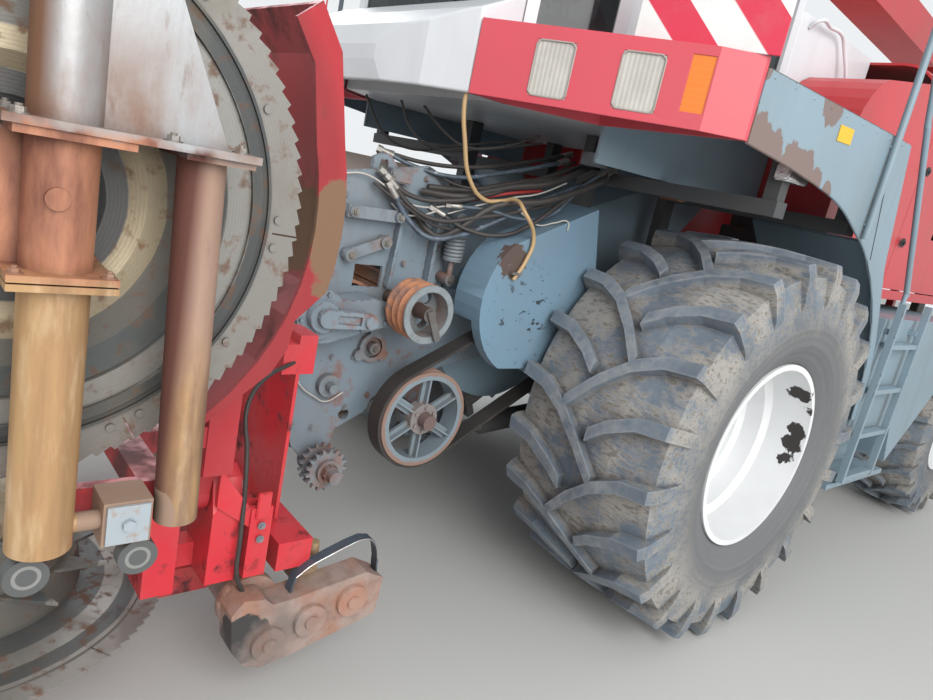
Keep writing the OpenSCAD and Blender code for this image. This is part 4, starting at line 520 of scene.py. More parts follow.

# %% [markdown]
# ## The rotors
#
# A rotor's face is a set of rings round its axis: a black hub, a ring that crop has worn yellow, darker rings, a bright
# rail and at last the saw segments, and painted shade darkens its hollows. Rings that follow the axis stay in place as
# the rotor turns. Drums that lie flat have their axis along Z, the folded ones along X.

# %% Rotor steel
RINGS = [  # from, to, colour, roughness, metal
    (0.0, 0.165, (0.012, 0.013, 0.014), 0.45, 0.3), (0.165, 0.205, (0.10, 0.10, 0.10), 0.5, 0.5),
    (0.205, 0.275, (0.36, 0.30, 0.205), 0.45, 0.4), (0.275, 0.33, (0.14, 0.132, 0.118), 0.5, 0.3),
    (0.33, 0.40, (0.095, 0.105, 0.105), 0.4, 0.3), (0.40, 0.455, (0.30, 0.29, 0.27), 0.4, 0.6),
    (0.455, 0.50, (0.075, 0.08, 0.08), 0.4, 0.3), (0.50, 0.60, (0.27, 0.255, 0.235), 0.45, 0.5)]
SOFTENED = 0.002


def rotor_steel(name, *axis_line):
    p = Finish(name, (0.20, 0.19, 0.17), 0.4, 0.7)
    radius = p.add(p.off_line(*axis_line), p.both(p.less(p.noise(9, 4), 0.5), 0.010))
    for low, high, color, rough, metal in RINGS:
        inside, outside = (p.between(radius, low - SOFTENED, low + SOFTENED),
                           p.between(radius, high + SOFTENED, high - SOFTENED))
        p.cover(p.both(inside, outside), color, rough, metal)
    freckles = p.both(p.patches(24, 6, 0.54, 0.66), p.between(radius, 0.17, 0.21))
    p.cover(freckles, (0.13, 0.055, 0.025), 0.85, 0.0, share=0.75)
    p.cover(p.patches(4.5, 6, 0.50, 0.72), (0.15, 0.13, 0.10), 0.7, 0.1, share=0.5)
    # Painted shade: near-black darkening in the hollows of the rotor.
    p.cover(p.corners(0.05), (0.02, 0.014, 0.01), 0.85, 0.0, share=0.75)
    p.bump(p.add(p.both(p.wave(radius, 900.0), 0.15), p.noise(70, 4)), 0.18, 0.002)
    return p


folded_rotor = rotor_steel("worn steel of the folded rotors", "X", ROTOR_Y, FOLDED_ROTOR_Z)
flat_rotor = rotor_steel("worn steel of the low rotors", "Z", LOW_ROTOR_X, ROTOR_Y, True)
print("rotor steels:", folded_rotor.material.name, "and", flat_rotor.material.name)

# %% [markdown]
# ## Pipes and long plate
#
# The two pipes slide over stubble when the header is down. Their lower parts are ochre and streaked along the pipe, the
# middle is orange rust, and what is above the flange is polished bright. Height separates the three, and noise squeezed
# along Z gives dark streaks that look drawn by the crop and lighter streaks that are painted highlights.

# %% Pipe steel
p = pipes = Finish("streaked pipe steel", (0.47, 0.285, 0.135), 0.45, 0.2)
streaks = p.noise(14, 8, (1, 1, 0.10))
p.cover(p.between(streaks, 0.40, 0.66), (0.22, 0.12, 0.065), 0.6, share=0.8)
# Painted highlights: lighter streaks along the pipes.
p.cover(p.patches(26, 6, 0.50, 0.7, stretch=(1, 1, 0.2)), (0.62, 0.44, 0.27), 0.45, share=0.75)
short_pipe = p.between(p.axis("Y"), -2.62, -2.60)
high_up = p.between(p.add(p.axis("Z"), p.both(p.noise(6, 6, (1, 1, 0.4)), 0.25)), 1.36, 1.58)
p.cover(p.both(short_pipe, high_up), (0.36, 0.235, 0.19), 0.5, share=0.85)
brown = p.patches(8, 7, 0.48, 0.66, stretch=(1, 1, 0.25))
p.cover(p.both(short_pipe, brown), (0.15, 0.085, 0.07), 0.6, share=0.8)
p.cover(p.both(short_pipe, p.between(p.axis("Y"), -2.515, -2.545)), (0.13, 0.05, 0.038), 0.8)
height = p.add(p.axis("Z"), p.both(p.less(p.noise(9, 5), 0.5), 0.10))
middle = p.both(p.between(height, 1.50, 1.53), p.less(1.0, short_pipe))
p.cover(middle, (0.47, 0.21, 0.12), 0.5)
p.cover(p.both(middle, p.patches(12, 7, 0.42, 0.62, stretch=(1, 1, 0.25))), (0.22, 0.085, 0.055), 0.6)
bright = p.between(height, 1.750, 1.772)
p.cover(bright, (0.43, 0.445, 0.46), 0.38, 0.6)
freckles = p.patches(34, 4, 0.60, 0.75, stretch=(1, 1, 0.35))
p.cover(p.both(bright, freckles), (0.20, 0.15, 0.12), 0.6, 0.2, share=0.7)
low_stain = p.both(bright, p.between(height, 2.02, 1.78), p.patches(5, 6, 0.40, 0.62, stretch=(1, 1, 0.5)))
p.cover(low_stain, (0.22, 0.115, 0.07), 0.6, 0.2)
p.cover(p.both(bright, p.between(p.axis("Y"), -2.775, -2.80)), (0.17, 0.08, 0.045), 0.6, 0.1)

# %% [markdown]
# ## Joint box and small wheels below the pipes
#
# The same node carries a brown box with a bluish square cover, and two small
# dark wheels with a steel ring. They are far below the rest, so a limit on
# height and the distance from their axes picks them out.

# %% Box and small wheels
low_down = p.between(p.axis("Z"), 1.060, 1.058)
from_box = p.off_line("X", *JOINT_BOX_AXIS)
p.cover(p.both(p.between(from_box, 0.092, 0.088), low_down), (0.30, 0.20, 0.145), 0.75, 0.0)
for wheel_y in (-2.775, -2.573):
    away = p.off_line("X", wheel_y, 0.911)
    p.cover(p.both(p.between(away, 0.043, 0.041), low_down), (0.115, 0.120, 0.120), 0.5, 0.3)
    p.cover(p.both(p.between(away, 0.026, 0.025), p.between(away, 0.018, 0.019)), (0.33, 0.33, 0.32), 0.4, 0.6)
square_cover = p.both(p.between(from_box, 0.066, 0.065), p.between(p.aside("X"), 1.4325, 1.4335))
p.cover(square_cover, (0.40, 0.45, 0.49), 0.4, 0.3)
p.cover(p.both(square_cover, p.patches(28, 5, 0.55, 0.7)), (0.33, 0.20, 0.13), 0.8, 0.0, share=0.8)
# Painted shade: the whole node is darkened in corners and under things.
p.cover(p.corners(0.05), (0.03, 0.018, 0.012), 0.85, share=0.6)
p.bump(p.add(streaks, p.both(p.noise(70, 4), 0.3)), 0.35, 0.003)
print("finished", pipes.material.name)

# %% [markdown]
# ## The header's reds
#
# The curved sheet behind a folded rotor is a dark red, with painted shade on the inside of its wall near the saw, and
# one bare brown patch. The frame below is a glossier red with black chips.

# %% Shroud and header frame
p = shroud = paint("red shroud paint", (0.42, 0.024, 0.034), chips=0.50, dirt_and_shade=0.30, rough=0.3)
# Painted shade: the inside of the wall near the saw is darkened.
shaded_inner_wall = p.both(p.between(p.off_line("X", ROTOR_Y, FOLDED_ROTOR_Z), 0.70, 0.66), p.between(p.axis("Z"), 1.05, 1.12))
p.cover(shaded_inner_wall, (0.20, 0.016, 0.02), 0.45, share=0.55)
p.cover(p.patches(5, 6, 0.56, 0.66, stretch=(1, 1, 0.5)), (0.028, 0.014, 0.013), 0.7, share=0.8)
patch = p.both(p.between(p.axis("Z"), 1.38, 1.56), p.between(p.axis("Z"), 1.84, 1.66),
               p.between(p.axis("Y"), -2.27, -2.19))
p.cover(p.between(p.add(patch, p.both(p.noise(9, 7), 1.3)), 1.18, 1.26), (0.19, 0.105, 0.060), 0.75)

p = header_red = paint("glossy header red", (0.64, 0.030, 0.045), chips=0.30, dirt_and_shade=0.45, rough=0.22)
p.cover(p.patches(9, 6, 0.56, 0.66), (0.022, 0.016, 0.016), 0.6, share=0.85)
print("reds:", shroud.material.name, "and", header_red.material.name)

# %% [markdown]
# ## Pale floor
#
# The floor is no part of the machine. It stays plain and pale and takes the
# shadow, so it needs only one flat, soft finish.

# %% Floor
floor_finish = Finish("pale floor", (0.52, 0.52, 0.505), 0.9)
floor.data.materials.append(floor_finish.material)
print("floor", floor_finish.material.name)

# %% [markdown]
# ## Dressing the CAD nodes
#
# Every CAD node keeps its mesh and gets its finish here. One table is easier to
# read and to correct than sixty separate assignments, and the loop after it
# stops if a node was forgotten.

# %% Dress the nodes
DRESS = {
    grey: ["axles", "platform", "tanks", "chopper", "ladder", "railing"],
    feeder_grey: ["feeder_housing", "feeder_gearcase"],
    pulley_grey: ["big_pulley"],
    guard_grey: ["drive_guard"],
    red: ["body_panels", "side_door_left", "side_door_right", "spout_turret", "spout_arm", "spout_flap"],
    lamp_red: ["light_bar"],
    header_red: ["header_frame"],
    shroud: ["wing_left", "wing_right"],
    white: ["rear_cabinet", "cab_shell", "cab_roof", "cab_door", "cowl"],
    rim_paint: ["rim_front_left", "rim_front_right", "rim_rear_left", "rim_rear_right"],
    dark: ["frame", "knuckle_left", "knuckle_right", "lift_barrels"],
    front_tyre: ["tyre_front_left", "tyre_front_right"],
    rear_tyre: ["tyre_rear_left", "tyre_rear_right"],
    hose_rubber: ["hoses", "drive_belt"],
    glass: ["cab_glass", "door_glass"],
    plastic: ["cab_interior"],
    lens_clear: ["lamps"],
    amber: ["amber_lamps"],
    board: ["marker_boards"],
    engine_iron: ["engine"],
    linkage: ["feeder_linkage", "header_sprocket"],
    rod_steel: ["lift_rods"],
    flat_rotor: ["rotor_inner_left", "rotor_inner_right"],
    folded_rotor: ["rotor_outer_left", "rotor_outer_right"],
    rust: ["feed_rolls", "upper_pulley"],
    small_wheel: ["small_pulley"],
    drive_rust: ["header_drive"],
    pipes: ["wing_pipes_left", "wing_pipes_right"],
}
waiting = set(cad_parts)
for finish, names in DRESS.items():
    for name in names:
        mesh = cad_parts[name].data
        mesh.materials.clear()
        mesh.materials.append(finish.material)
        waiting.discard(name)
assert not waiting, sorted(waiting)
print("dressed", sum(len(n) for n in DRESS.values()), "nodes in", len(DRESS), "finishes")

# %% [markdown]
# ## Softer edges
#
# Pressed sheet and moulded plastic have no knife edges. The CAD meshes stay as
# they are: a weld joins the doubled points of the import, and a bevel on top
# rounds only the edges that are sharper than 35 degrees, so light runs
# along them as it does on the real thing.

# %% Soft edges
SOFT = {"cab_roof": 0.014, "cowl": 0.012, "light_bar": 0.014, "cab_shell": 0.006, "platform": 0.003,
        "rear_cabinet": 0.006, "marker_boards": 0.002, "drive_guard": 0.0015, "tanks": 0.008, "header_frame": 0.003,
        "side_door_left": 0.002, "side_door_right": 0.002, "header_drive": 0.007, "feeder_gearcase": 0.005}
DOUBLED, SHARP = 0.00005, math.radians(35)
for name, width in SOFT.items():
    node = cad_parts[name]
    node.modifiers.new("weld", "WELD").merge_threshold = DOUBLED
    soft = node.modifiers.new("soft edge", "BEVEL")
    soft.width, soft.segments, soft.limit_method, soft.angle_limit = width, 2, "ANGLE", SHARP
    soft.harden_normals = True
print("rounded", len(SOFT), "nodes")

# %% [markdown]
# ## Three ways to make a small part
#
# Nearly everything that is added is a bolt, a bent tube or a flat plate. Bolts that share a finish and a body become
# one mesh, which keeps the list of pieces short. Tubes are curves with round ends, so a hose follows its points
# smoothly; one that runs from a moving body to another becomes a plain mesh on neither body. Plates come from a list of
# corners pushed through a thickness, with a small bevel so that their edges catch light.

# %% Helpers for small parts
SIDES = ((1, "left"), (-1, "right"))


def keep(piece, finish, body):
    scene.collection.objects.link(piece)
    piece.data.materials.append(finish.material)
    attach(piece, body)
    return piece


def from_bmesh(name, bm, finish, body="machine", smooth=30):
    mesh = bpy.data.meshes.new(name)
    bm.normal_update()
    bm.to_mesh(mesh)
    bm.free()
    for polygon in mesh.polygons:
        polygon.use_smooth = True
    mesh.set_sharp_from_angle(angle=math.radians(smooth))
    return keep(bpy.data.objects.new(name, mesh), finish, body)


def disc(bm, place, direction, radius, height, sides=24, top=None):
    """A disc on place that points along direction, and narrows to top if that is given."""
    standing = Matrix.Translation(place) @ Vector(direction).to_track_quat("Z", "Y").to_matrix().to_4x4()
    bmesh.ops.create_cone(bm, cap_ends=True, segments=sides, radius1=radius, radius2=radius if top is None else top,
                          depth=height, matrix=standing @ Matrix.Translation((0, 0, height / 2)))


def discs(name, shapes, finish, body="machine"):
    bm = bmesh.new()
    for shape in shapes:
        disc(bm, *shape)
    return from_bmesh(name, bm, finish, body)


def bolts(name, spots, direction, size, finish, body="machine"):
    """Hexagon bolts on washers; size is the hexagon's radius."""
    way, shapes = Vector(direction).normalized(), []
    for spot in map(Vector, spots):
        shapes += [(spot - 0.002 * way, way, 1.35 * size, 0.002 + 0.18 * size, 20),
                   (spot + 0.18 * size * way, way, size, 0.7 * size, 6, 0.93 * size),
                   (spot + 0.88 * size * way, way, 0.5 * size, 0.35 * size, 12)]
    return discs(name, shapes, finish, body)


def circle(x, y, z, radius, count):
    """Places round an axis along X."""
    turns = (math.radians(360 / count * i) for i in range(count))
    return [(x, y + radius * math.cos(a), z + radius * math.sin(a)) for a in turns]


def tube(name, points, radius, finish, body="machine", smooth=True):
    """A round tube through points, on one body; given a pair of bodies, it is a plain mesh on neither."""
    curve = bpy.data.curves.new(name, "CURVE")
    curve.dimensions = "3D"
    curve.bevel_depth, curve.bevel_resolution, curve.resolution_u, curve.use_fill_caps = radius, 3, 8, True
    line = curve.splines.new("BEZIER" if smooth else "POLY")
    knots = line.bezier_points if smooth else line.points
    knots.add(len(points) - 1)
    for knot, point in zip(knots, points):
        knot.co = point if smooth else (*point, 1)
        if smooth:
            knot.handle_left_type = knot.handle_right_type = "AUTO"
    piece = bpy.data.objects.new(name, curve)
    if isinstance(body, str):
        return keep(piece, finish, body)
    scene.collection.objects.link(piece)
    mesh = bpy.data.meshes.new_from_object(piece.evaluated_get(bpy.context.evaluated_depsgraph_get()))
    bpy.data.objects.remove(piece)
    piece = bpy.data.objects.new(name, mesh)
    scene.collection.objects.link(piece)
    mesh.materials.append(finish.material)
    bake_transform(piece)
    return piece


def plate(name, corners, thickness, finish, body="machine", bevel=0.001):
    """A flat plate: corners in order round its face, pushed back against their normal."""
    bm = bmesh.new()
    face = bm.faces.new([bm.verts.new(c) for c in corners])
    bm.normal_update()
    made = bmesh.ops.extrude_face_region(bm, geom=[face])
    down = [v for v in made["geom"] if isinstance(v, bmesh.types.BMVert)]
    bmesh.ops.translate(bm, verts=down, vec=-thickness * face.normal)
    bmesh.ops.recalc_face_normals(bm, faces=bm.faces)
    if bevel:
        bmesh.ops.bevel(bm, geom=bm.edges[:], offset=bevel, segments=2, affect="EDGES")
    return from_bmesh(name, bm, finish, body)


def box_piece(name, low, high, finish, body="machine", bevel=0.003):
    (x0, y0, z0), (x1, y1, z1) = low, high
    return plate(name, [(x0, y0, z1), (x1, y0, z1), (x1, y1, z1), (x0, y1, z1)], z1 - z0, finish, body, bevel)


print("helpers ready")

# %% [markdown]
# ## Wheels
#
# The CAD rims carry their discs and holes. Ten wheel nuts, a hub cap and a
# valve stem finish each one. The outer side of a left wheel faces +X and that
# of a right wheel faces -X.

# %% Wheel nuts, hub caps and valves
WHEELS = {  # x, y, z, inset of the disc, radius of the ring of nuts, radius of the bead
    "front": (1.17, 0.0, FRONT_R, 0.044, 0.165, 0.40), "rear": (1.19, REAR_AXLE_Y, REAR_R, -0.026, 0.100, 0.296)}
VALVE_TURN = math.radians(65)
for end, (x, y, z, inset, nuts, bead) in WHEELS.items():
    for way, side_name in SIDES:
        body, face = f"wheel_{end}_{side_name}", way * (x - inset)
        bolts(body + "_nuts", circle(face, y, z, nuts, 10), (way, 0, 0), 0.016, zinc, body)
        cap = ((face + way * 0.045, y, z), (way, 0, 0), 0.42 * nuts, 0.035, 40, 0.36 * nuts)
        discs(body + "_cap", [cap], rim_paint, body)
        reach = bead - 0.012
        stem = Vector((way * (x + 0.10), y + reach * math.cos(VALVE_TURN), z + reach * math.sin(VALVE_TURN)))
        bend = [stem + Vector((-way * 0.01, 0, 0)), stem, stem + Vector((way * 0.05, 0, -0.012))]
        tube(body + "_valve", bend, 0.005, zinc, body)
print("finished", len(WHEELS) * len(SIDES), "wheels")

# %% [markdown]
# ## Lamps
#
# A headlamp on the red moulding is a ribbed lens in a thin grey seal. The
# moulding runs at a slant, so its own direction is used to place the seals,
# not the axes.

# %% Lamp seals
p = seal_grey = Finish("grey lamp seal", (0.42, 0.39, 0.36), 0.5)
p.cover(p.noise(20, 4), (0.22, 0.19, 0.17), 0.7, share=0.6)
BAR_START = Vector((0.645, -1.330, 0))
BAR_WAY = (Vector((1.395, -0.958, 0)) - BAR_START).normalized()
BAR_OUT = Vector((BAR_WAY.y, -BAR_WAY.x, 0))
PROUD, CORNER = 0.0005, 0.014
LAMPS = {"headlamp_inner": (0.225, 0.367, 2.133, 2.318), "headlamp_outer": (0.532, 0.677, 2.134, 2.318)}
for way, side_name in SIDES:
    for name, (s0, s1, z0, z1) in LAMPS.items():
        in0, in1, up, down = s0 + CORNER, s1 - CORNER, z0 + CORNER, z1 - CORNER
        outline = []
        for s, z in ((in0, z0), (in1, z0), (s1, up), (s1, down), (in1, z1), (in0, z1), (s0, down), (s0, up), (in0, z0)):
            spot = BAR_START + s * BAR_WAY + PROUD * BAR_OUT
            outline.append(Vector((way * spot.x, spot.y, z)))
        tube(f"{name}_seal_{side_name}", outline, 0.0032, seal_grey, smooth=False)
print("sealed", 2 * len(LAMPS), "headlamps")

# %% [markdown]
# ## Hoses over the feeder
#
# A bundle of hydraulic hoses crosses from the feeder's left side to the machine. The CAD has three thick ones. Seven
# thinner ones lie over them, each a curve through its own points, with crimped metal ends. The crimps are fixed to the
# feeder at one end and to the machine at the other, while the hoses themselves are plain meshes on neither body.

# %% Hydraulic hoses
CROSSING = ("feeder", "machine")
p = blue_hose = Finish("faded blue-grey hose", (0.085, 0.115, 0.15), 0.35, slot="hose_rubber")
p.cover(p.patches(14, 5, 0.45, 0.65), (0.030, 0.034, 0.040), 0.5, share=0.8)
p.cover(p.patches(38, 4, 0.66, 0.70), (0.50, 0.50, 0.48), 0.5)
HOSES = {
    "hose_loop_low": (blue_hose, 0.011, [
        (0.50, -1.49, 1.71), (0.53, -1.40, 1.60), (0.57, -1.33, 1.555), (0.60, -1.22, 1.575), (0.63, -1.05, 1.66),
        (0.66, -0.90, 1.755), (0.66, -0.70, 1.84), (0.62, -0.45, 1.93)]),
    "hose_loop_mid": (hose_rubber, 0.010, [
        (0.50, -1.50, 1.74), (0.53, -1.40, 1.655), (0.57, -1.30, 1.625), (0.62, -1.14, 1.665), (0.65, -0.98, 1.71),
        (0.66, -0.80, 1.79), (0.63, -0.45, 1.95)]),
    "hose_loop_high": (hose_rubber, 0.010, [
        (0.49, -1.52, 1.76), (0.52, -1.42, 1.70), (0.58, -1.25, 1.71), (0.60, -1.08, 1.765), (0.58, -0.85, 1.845),
        (0.57, -0.50, 1.98)]),
    "hose_back_a": (blue_hose, 0.009, [
        (0.36, -1.46, 1.84), (0.42, -1.36, 1.81), (0.50, -1.20, 1.80), (0.53, -1.00, 1.85), (0.50, -0.60, 1.96)]),
    "hose_back_b": (hose_rubber, 0.009, [
        (0.30, -1.42, 1.84), (0.38, -1.28, 1.83), (0.46, -1.10, 1.85), (0.46, -0.80, 1.92), (0.42, -0.50, 2.00)]),
    "hose_tight": (blue_hose, 0.008, [
        (0.57, -1.24, 1.69), (0.62, -1.10, 1.70), (0.67, -0.96, 1.69), (0.70, -0.84, 1.715), (0.69, -0.66, 1.86),
        (0.66, -0.50, 1.95)]),
    "hose_under": (hose_rubber, 0.009, [
        (0.55, -1.30, 1.66), (0.62, -1.18, 1.61), (0.68, -1.04, 1.615), (0.71, -0.93, 1.675), (0.70, -0.75, 1.80),
        (0.66, -0.45, 1.96)]),
}
for name, (finish, radius, points) in HOSES.items():
    tube(name, points, radius, finish, CROSSING)
for body, first, second in (("feeder", 0, 1), ("machine", -1, -2)):
    crimps = []
    for finish, radius, points in HOSES.values():
        end = Vector(points[first])
        way = (Vector(points[second]) - end).normalized()
        crimps += [(end - 0.012 * way, way, radius * 1.45, 0.05, 16), (end - 0.030 * way, way, radius * 1.75, 0.02, 6)]
    discs("hose_crimps_" + body, crimps, zinc, body)
print("laid", len(HOSES), "hoses")

# %% [markdown]
# ## Cable bundle, red sleeve and the pale tube
#
# Thin cables cross the hoses, one of them in a red sleeve. A pale yellow tube
# comes down from behind the cowl, lies over the bundle and ends on the drive
# guard, where a clip holds it.

# %% Cables and the pale tube
p = pale_tube = Finish("pale yellow tube", (0.50, 0.34, 0.17), 0.4, slot="hose_rubber")
p.cover(p.noise(12, 5), (0.34, 0.22, 0.11), 0.6, share=0.5)
p = red_sleeve = Finish("red cable sleeve", (0.36, 0.03, 0.03), 0.45, slot="hose_rubber")
p.cover(p.noise(30, 4), (0.10, 0.02, 0.02), 0.7, share=0.4)
p = white_cable = Finish("off-white cable", (0.55, 0.54, 0.50), 0.5, slot="hose_rubber")
p.cover(p.noise(25, 4), (0.25, 0.22, 0.18), 0.7, share=0.5)
tube("pale_tube", [
    (0.615, -1.315, 2.125), (0.617, -1.315, 2.06), (0.619, -1.282, 1.942), (0.62, -1.219, 1.801),
    (0.622, -1.122, 1.737), (0.64, -1.055, 1.745), (0.70, -1.036, 1.762), (0.775, -1.045, 1.728),
    (0.784, -0.968, 1.625), (0.784, -0.987, 1.531), (0.783, -1.031, 1.454)], 0.0085, pale_tube)
box_piece("tube_clip", (0.7703, -1.050, 1.462), (0.7935, -1.000, 1.474), zinc, bevel=0.002)
tube("red_sleeve", [(0.56, -1.14, 1.725), (0.60, -1.02, 1.77), (0.62, -0.93, 1.795), (0.62, -0.82, 1.815)], 0.0075,
     red_sleeve)
CABLES = {
    "thin_cable_0": [(0.462, -1.70, 1.73), (0.475, -1.60, 1.745), (0.50, -1.48, 1.70), (0.52, -1.40, 1.665),
                     (0.58, -1.20, 1.70)],
    "thin_cable_1": [(0.55, -1.24, 1.655), (0.60, -1.12, 1.715), (0.64, -1.00, 1.765), (0.66, -0.88, 1.80),
                     (0.64, -0.70, 1.87)],
    "thin_cable_2": [(0.47, -1.46, 1.655), (0.50, -1.42, 1.625), (0.53, -1.36, 1.63), (0.56, -1.30, 1.66)],
    "thin_cable_3": [(0.66, -0.95, 1.715), (0.70, -0.88, 1.678), (0.74, -0.82, 1.702), (0.771, -0.78, 1.716),
                     (0.775, -0.772, 1.68)],
    "dark_cable_0": [(0.48, -1.56, 1.72), (0.52, -1.44, 1.66), (0.56, -1.28, 1.60), (0.60, -1.12, 1.62),
                     (0.64, -0.98, 1.70), (0.68, -0.80, 1.77)],
    "dark_cable_1": [(0.45, -1.30, 1.815), (0.50, -1.18, 1.77), (0.56, -1.02, 1.79), (0.58, -0.80, 1.86),
                     (0.52, -0.55, 1.97)],
    "dark_cable_2": [(0.20, -1.20, 2.06), (0.30, -1.16, 1.98), (0.40, -1.10, 1.93), (0.48, -1.0, 1.95),
                     (0.52, -0.8, 2.04)],
    "dark_cable_3": [(0.05, -1.22, 2.07), (0.12, -1.18, 1.95), (0.22, -1.12, 1.90), (0.36, -1.0, 1.93),
                     (0.44, -0.7, 2.02)],
    "dark_cable_4": [(-0.25, -1.22, 2.08), (-0.15, -1.16, 1.93), (0.0, -1.1, 1.88), (0.2, -1.0, 1.93),
                     (0.3, -0.7, 2.02)],
}
BENDING = ("thin_cable_0", "thin_cable_2", "dark_cable_0")
for name, points in CABLES.items():
    radius, finish = (0.0035, white_cable) if name.startswith("thin") else (0.006, hose_rubber)
    tube(name, points, radius, finish, CROSSING if name in BENDING else "machine")
tube("feeder_cable", [
    (0.462, -1.79, 1.09), (0.466, -1.775, 1.00), (0.468, -1.73, 0.914), (0.468, -1.66, 0.862),
    (0.468, -1.607, 0.838), (0.465, -1.53, 0.872)], 0.0035, white_cable, "feeder")
print("laid", len(CABLES) + 3, "cables and tubes")

# %% [markdown]
# ## Bolts of the feeder
#
# The feeder's side plates are bolted together round their edge, and every link
# turns on a bolt. The same list serves both sides, except where the gear case
# covers the left plate.

# %% Feeder bolts
EDGE = [(-1.655, 1.66), (-1.655, 1.50), (-1.69, 1.32), (-1.785, 1.10), (-1.80, 0.98), (-1.77, 0.86), (-1.73, 0.74),
        (-1.30, 1.77), (-1.20, 1.70), (-1.18, 1.50), (-1.15, 1.34), (-1.40, 0.85), (-1.22, 0.93), (-1.64, 0.72),
        (-1.50, 0.80), (-1.34, 1.60), (-1.34, 1.42), (-1.60, 1.02), (-1.50, 1.02)]
for way, side_name in SIDES:
    spots = [(way * 0.4505, y, z) for y, z in EDGE if way < 0 or not (-1.88 < y < -1.43 and 1.12 < z < 1.33)]
    bolts(f"feeder_bolts_{side_name}", spots, (way, 0, 0), 0.011, linkage, "feeder")
LINK_PINS = [(0.518, -1.637, 1.607), (0.518, -1.434, 1.609), (0.498, -1.614, 1.441), (0.498, -1.464, 1.503),
             (0.526, -1.140, 1.382), (0.526, -1.140, 1.640), (0.4905, -1.426, 1.066)]
bolts("link_bolts", LINK_PINS, (1, 0, 0), 0.013, zinc, "feeder")
box_piece("hose_block", (0.4508, -1.50, 1.685), (0.500, -1.40, 1.735), linkage, "feeder", 0.006)
box_piece("hose_rack", (0.560, -0.56, 1.905), (0.700, -0.53, 1.965), linkage, bevel=0.004)
print("bolted the feeder with", len(EDGE) + len(LINK_PINS), "kinds of place")

# %% [markdown]
# ## The folded header
#
# The long plate over both pipes, their flanges and the rotor's bearing are
# held by bolts. One large pin carries each fold.

# %% Header bolts
LONG_PLATE = ((1.335, -2.83), (1.47, -2.83), (1.335, -2.68), (1.47, -2.60), (1.34, -2.50), (1.45, -2.47))
for way, side_name in SIDES:
    body = "header_wing_" + side_name
    long_plate = [(way * x, y, 1.7712) for x, y in LONG_PLATE]
    bolts(f"long_plate_bolts_{side_name}", long_plate, (0, 0, 1), 0.012, zinc, body)
    flange = [(way * x, y, 1.5192) for x in (1.325, 1.465) for y in (-2.825, -2.683)]
    bolts(f"flange_bolts_{side_name}", flange, (0, 0, 1), 0.010, rust, body)
    bearing = circle(way * 1.3805, ROTOR_Y, FOLDED_ROTOR_Z, 0.098, 6)
    bolts(f"bearing_bolts_{side_name}", bearing, (way, 0, 0), 0.009, rust, body)
    bolts(f"fold_pin_{side_name}", [(way * 0.90, -2.136, 0.76)], (0, 1, 0), 0.020, linkage, "feeder")
print("bolted both wings")

# %% [markdown]
# ## Chain case, its handle and the hose beside it
#
# The chain case has a bent strap as its handle, with a bright edge where hands
# wear it. The strap is a flat section swept along its own bow by hand, because
# a round tube would look wrong. The cross shaft's joint sits in a yoke behind
# it, and one hose runs down from the frame.

# %% Handle, joint and hose
p = strap_metal = steel("bluish strap", (0.085, 0.115, 0.15), (0.20, 0.13, 0.10), 0.2, 0.4, 0.3, scale=14)
BOW = [(-1.958, 0.404), (-1.945, 0.462), (-1.900, 0.493), (-1.832, 0.519), (-1.759, 0.543), (-1.712, 0.554),
       (-1.672, 0.546), (-1.645, 0.512), (-1.631, 0.462), (-1.625, 0.404)]
SECTION = ((0.992, -0.003), (1.028, -0.003), (1.028, 0.003), (0.992, 0.003))
bm = bmesh.new()
rows = []
for i, (y, z) in enumerate(BOW):
    way = (Vector(BOW[min(i + 1, len(BOW) - 1)]) - Vector(BOW[max(i - 1, 0)])).normalized()
    rows.append([bm.verts.new((x, y - t * way.y, z + t * way.x)) for x, t in SECTION])
for a, b in zip(rows, rows[1:]):
    for k in range(4):
        bm.faces.new((a[k], a[(k + 1) % 4], b[(k + 1) % 4], b[k]))
bm.faces.new(rows[0][::-1])
bm.faces.new(rows[-1])
bmesh.ops.recalc_face_normals(bm, faces=bm.faces)
from_bmesh("case_handle", bm, strap_metal, "feeder", 45)
tube("case_handle_edge", [(1.0285, y, z - 0.002) for y, z in BOW[1:-1]], 0.0028, chrome, "feeder")
yoke_iron = steel("yellowish cast steel", (0.37, 0.265, 0.145), (0.25, 0.145, 0.085), 0.5, 0.6, 0.1, scale=12,
                  slot="rusty_steel")
joint = [(0.955, -1.868, 0.452), (0.955, -1.835, 0.405), (0.955, -1.905, 0.405)]
bolts("joint_bolts", joint, (1, 0, 0), 0.012, yoke_iron, "feeder")
discs("joint_caps", [
    ((0.900, -1.893, 0.470), (0, 0, 1), 0.023, 0.054, 24, 0.020),
    ((0.928, -1.838, 0.470), (0, 0, 1), 0.022, 0.046, 24, 0.019),
    ((0.913, -1.905, 0.498), (0.15, 1, 0), 0.014, 0.085, 20),
    ((0.868, -1.905, 0.440), (0, -1, 0.15), 0.026, 0.030, 24)], yoke_iron, "feeder")
tube("header_hose", [
    (0.845, -1.970, 1.140), (0.900, -2.095, 1.100), (0.931, -2.146, 1.035), (0.969, -2.146, 0.902),
    (0.992, -2.146, 0.784), (1.005, -2.146, 0.623), (1.004, -2.140, 0.500), (1.000, -2.110, 0.430)],
    0.007, hose_rubber, "feeder")
box_piece("post_bracket", (1.0055, -2.108, 0.60), (1.013, -2.064, 0.69), header_red, "feeder")
bolts("post_bolts", [(1.0135, -2.086, 0.622), (1.0135, -2.086, 0.668)], (1, 0, 0), 0.009, linkage, "feeder")
print("handle of", len(BOW), "stations in place")

# %% [markdown]
# ## Mudguards and platforms
#
# A rolled bead stiffens the arch of each mudguard, and a row of rivets holds
# the skirt to the deck. A small yellow plate sits near the front of the left
# one, and a bright box hangs under the arch. The decks have ribbed plates.

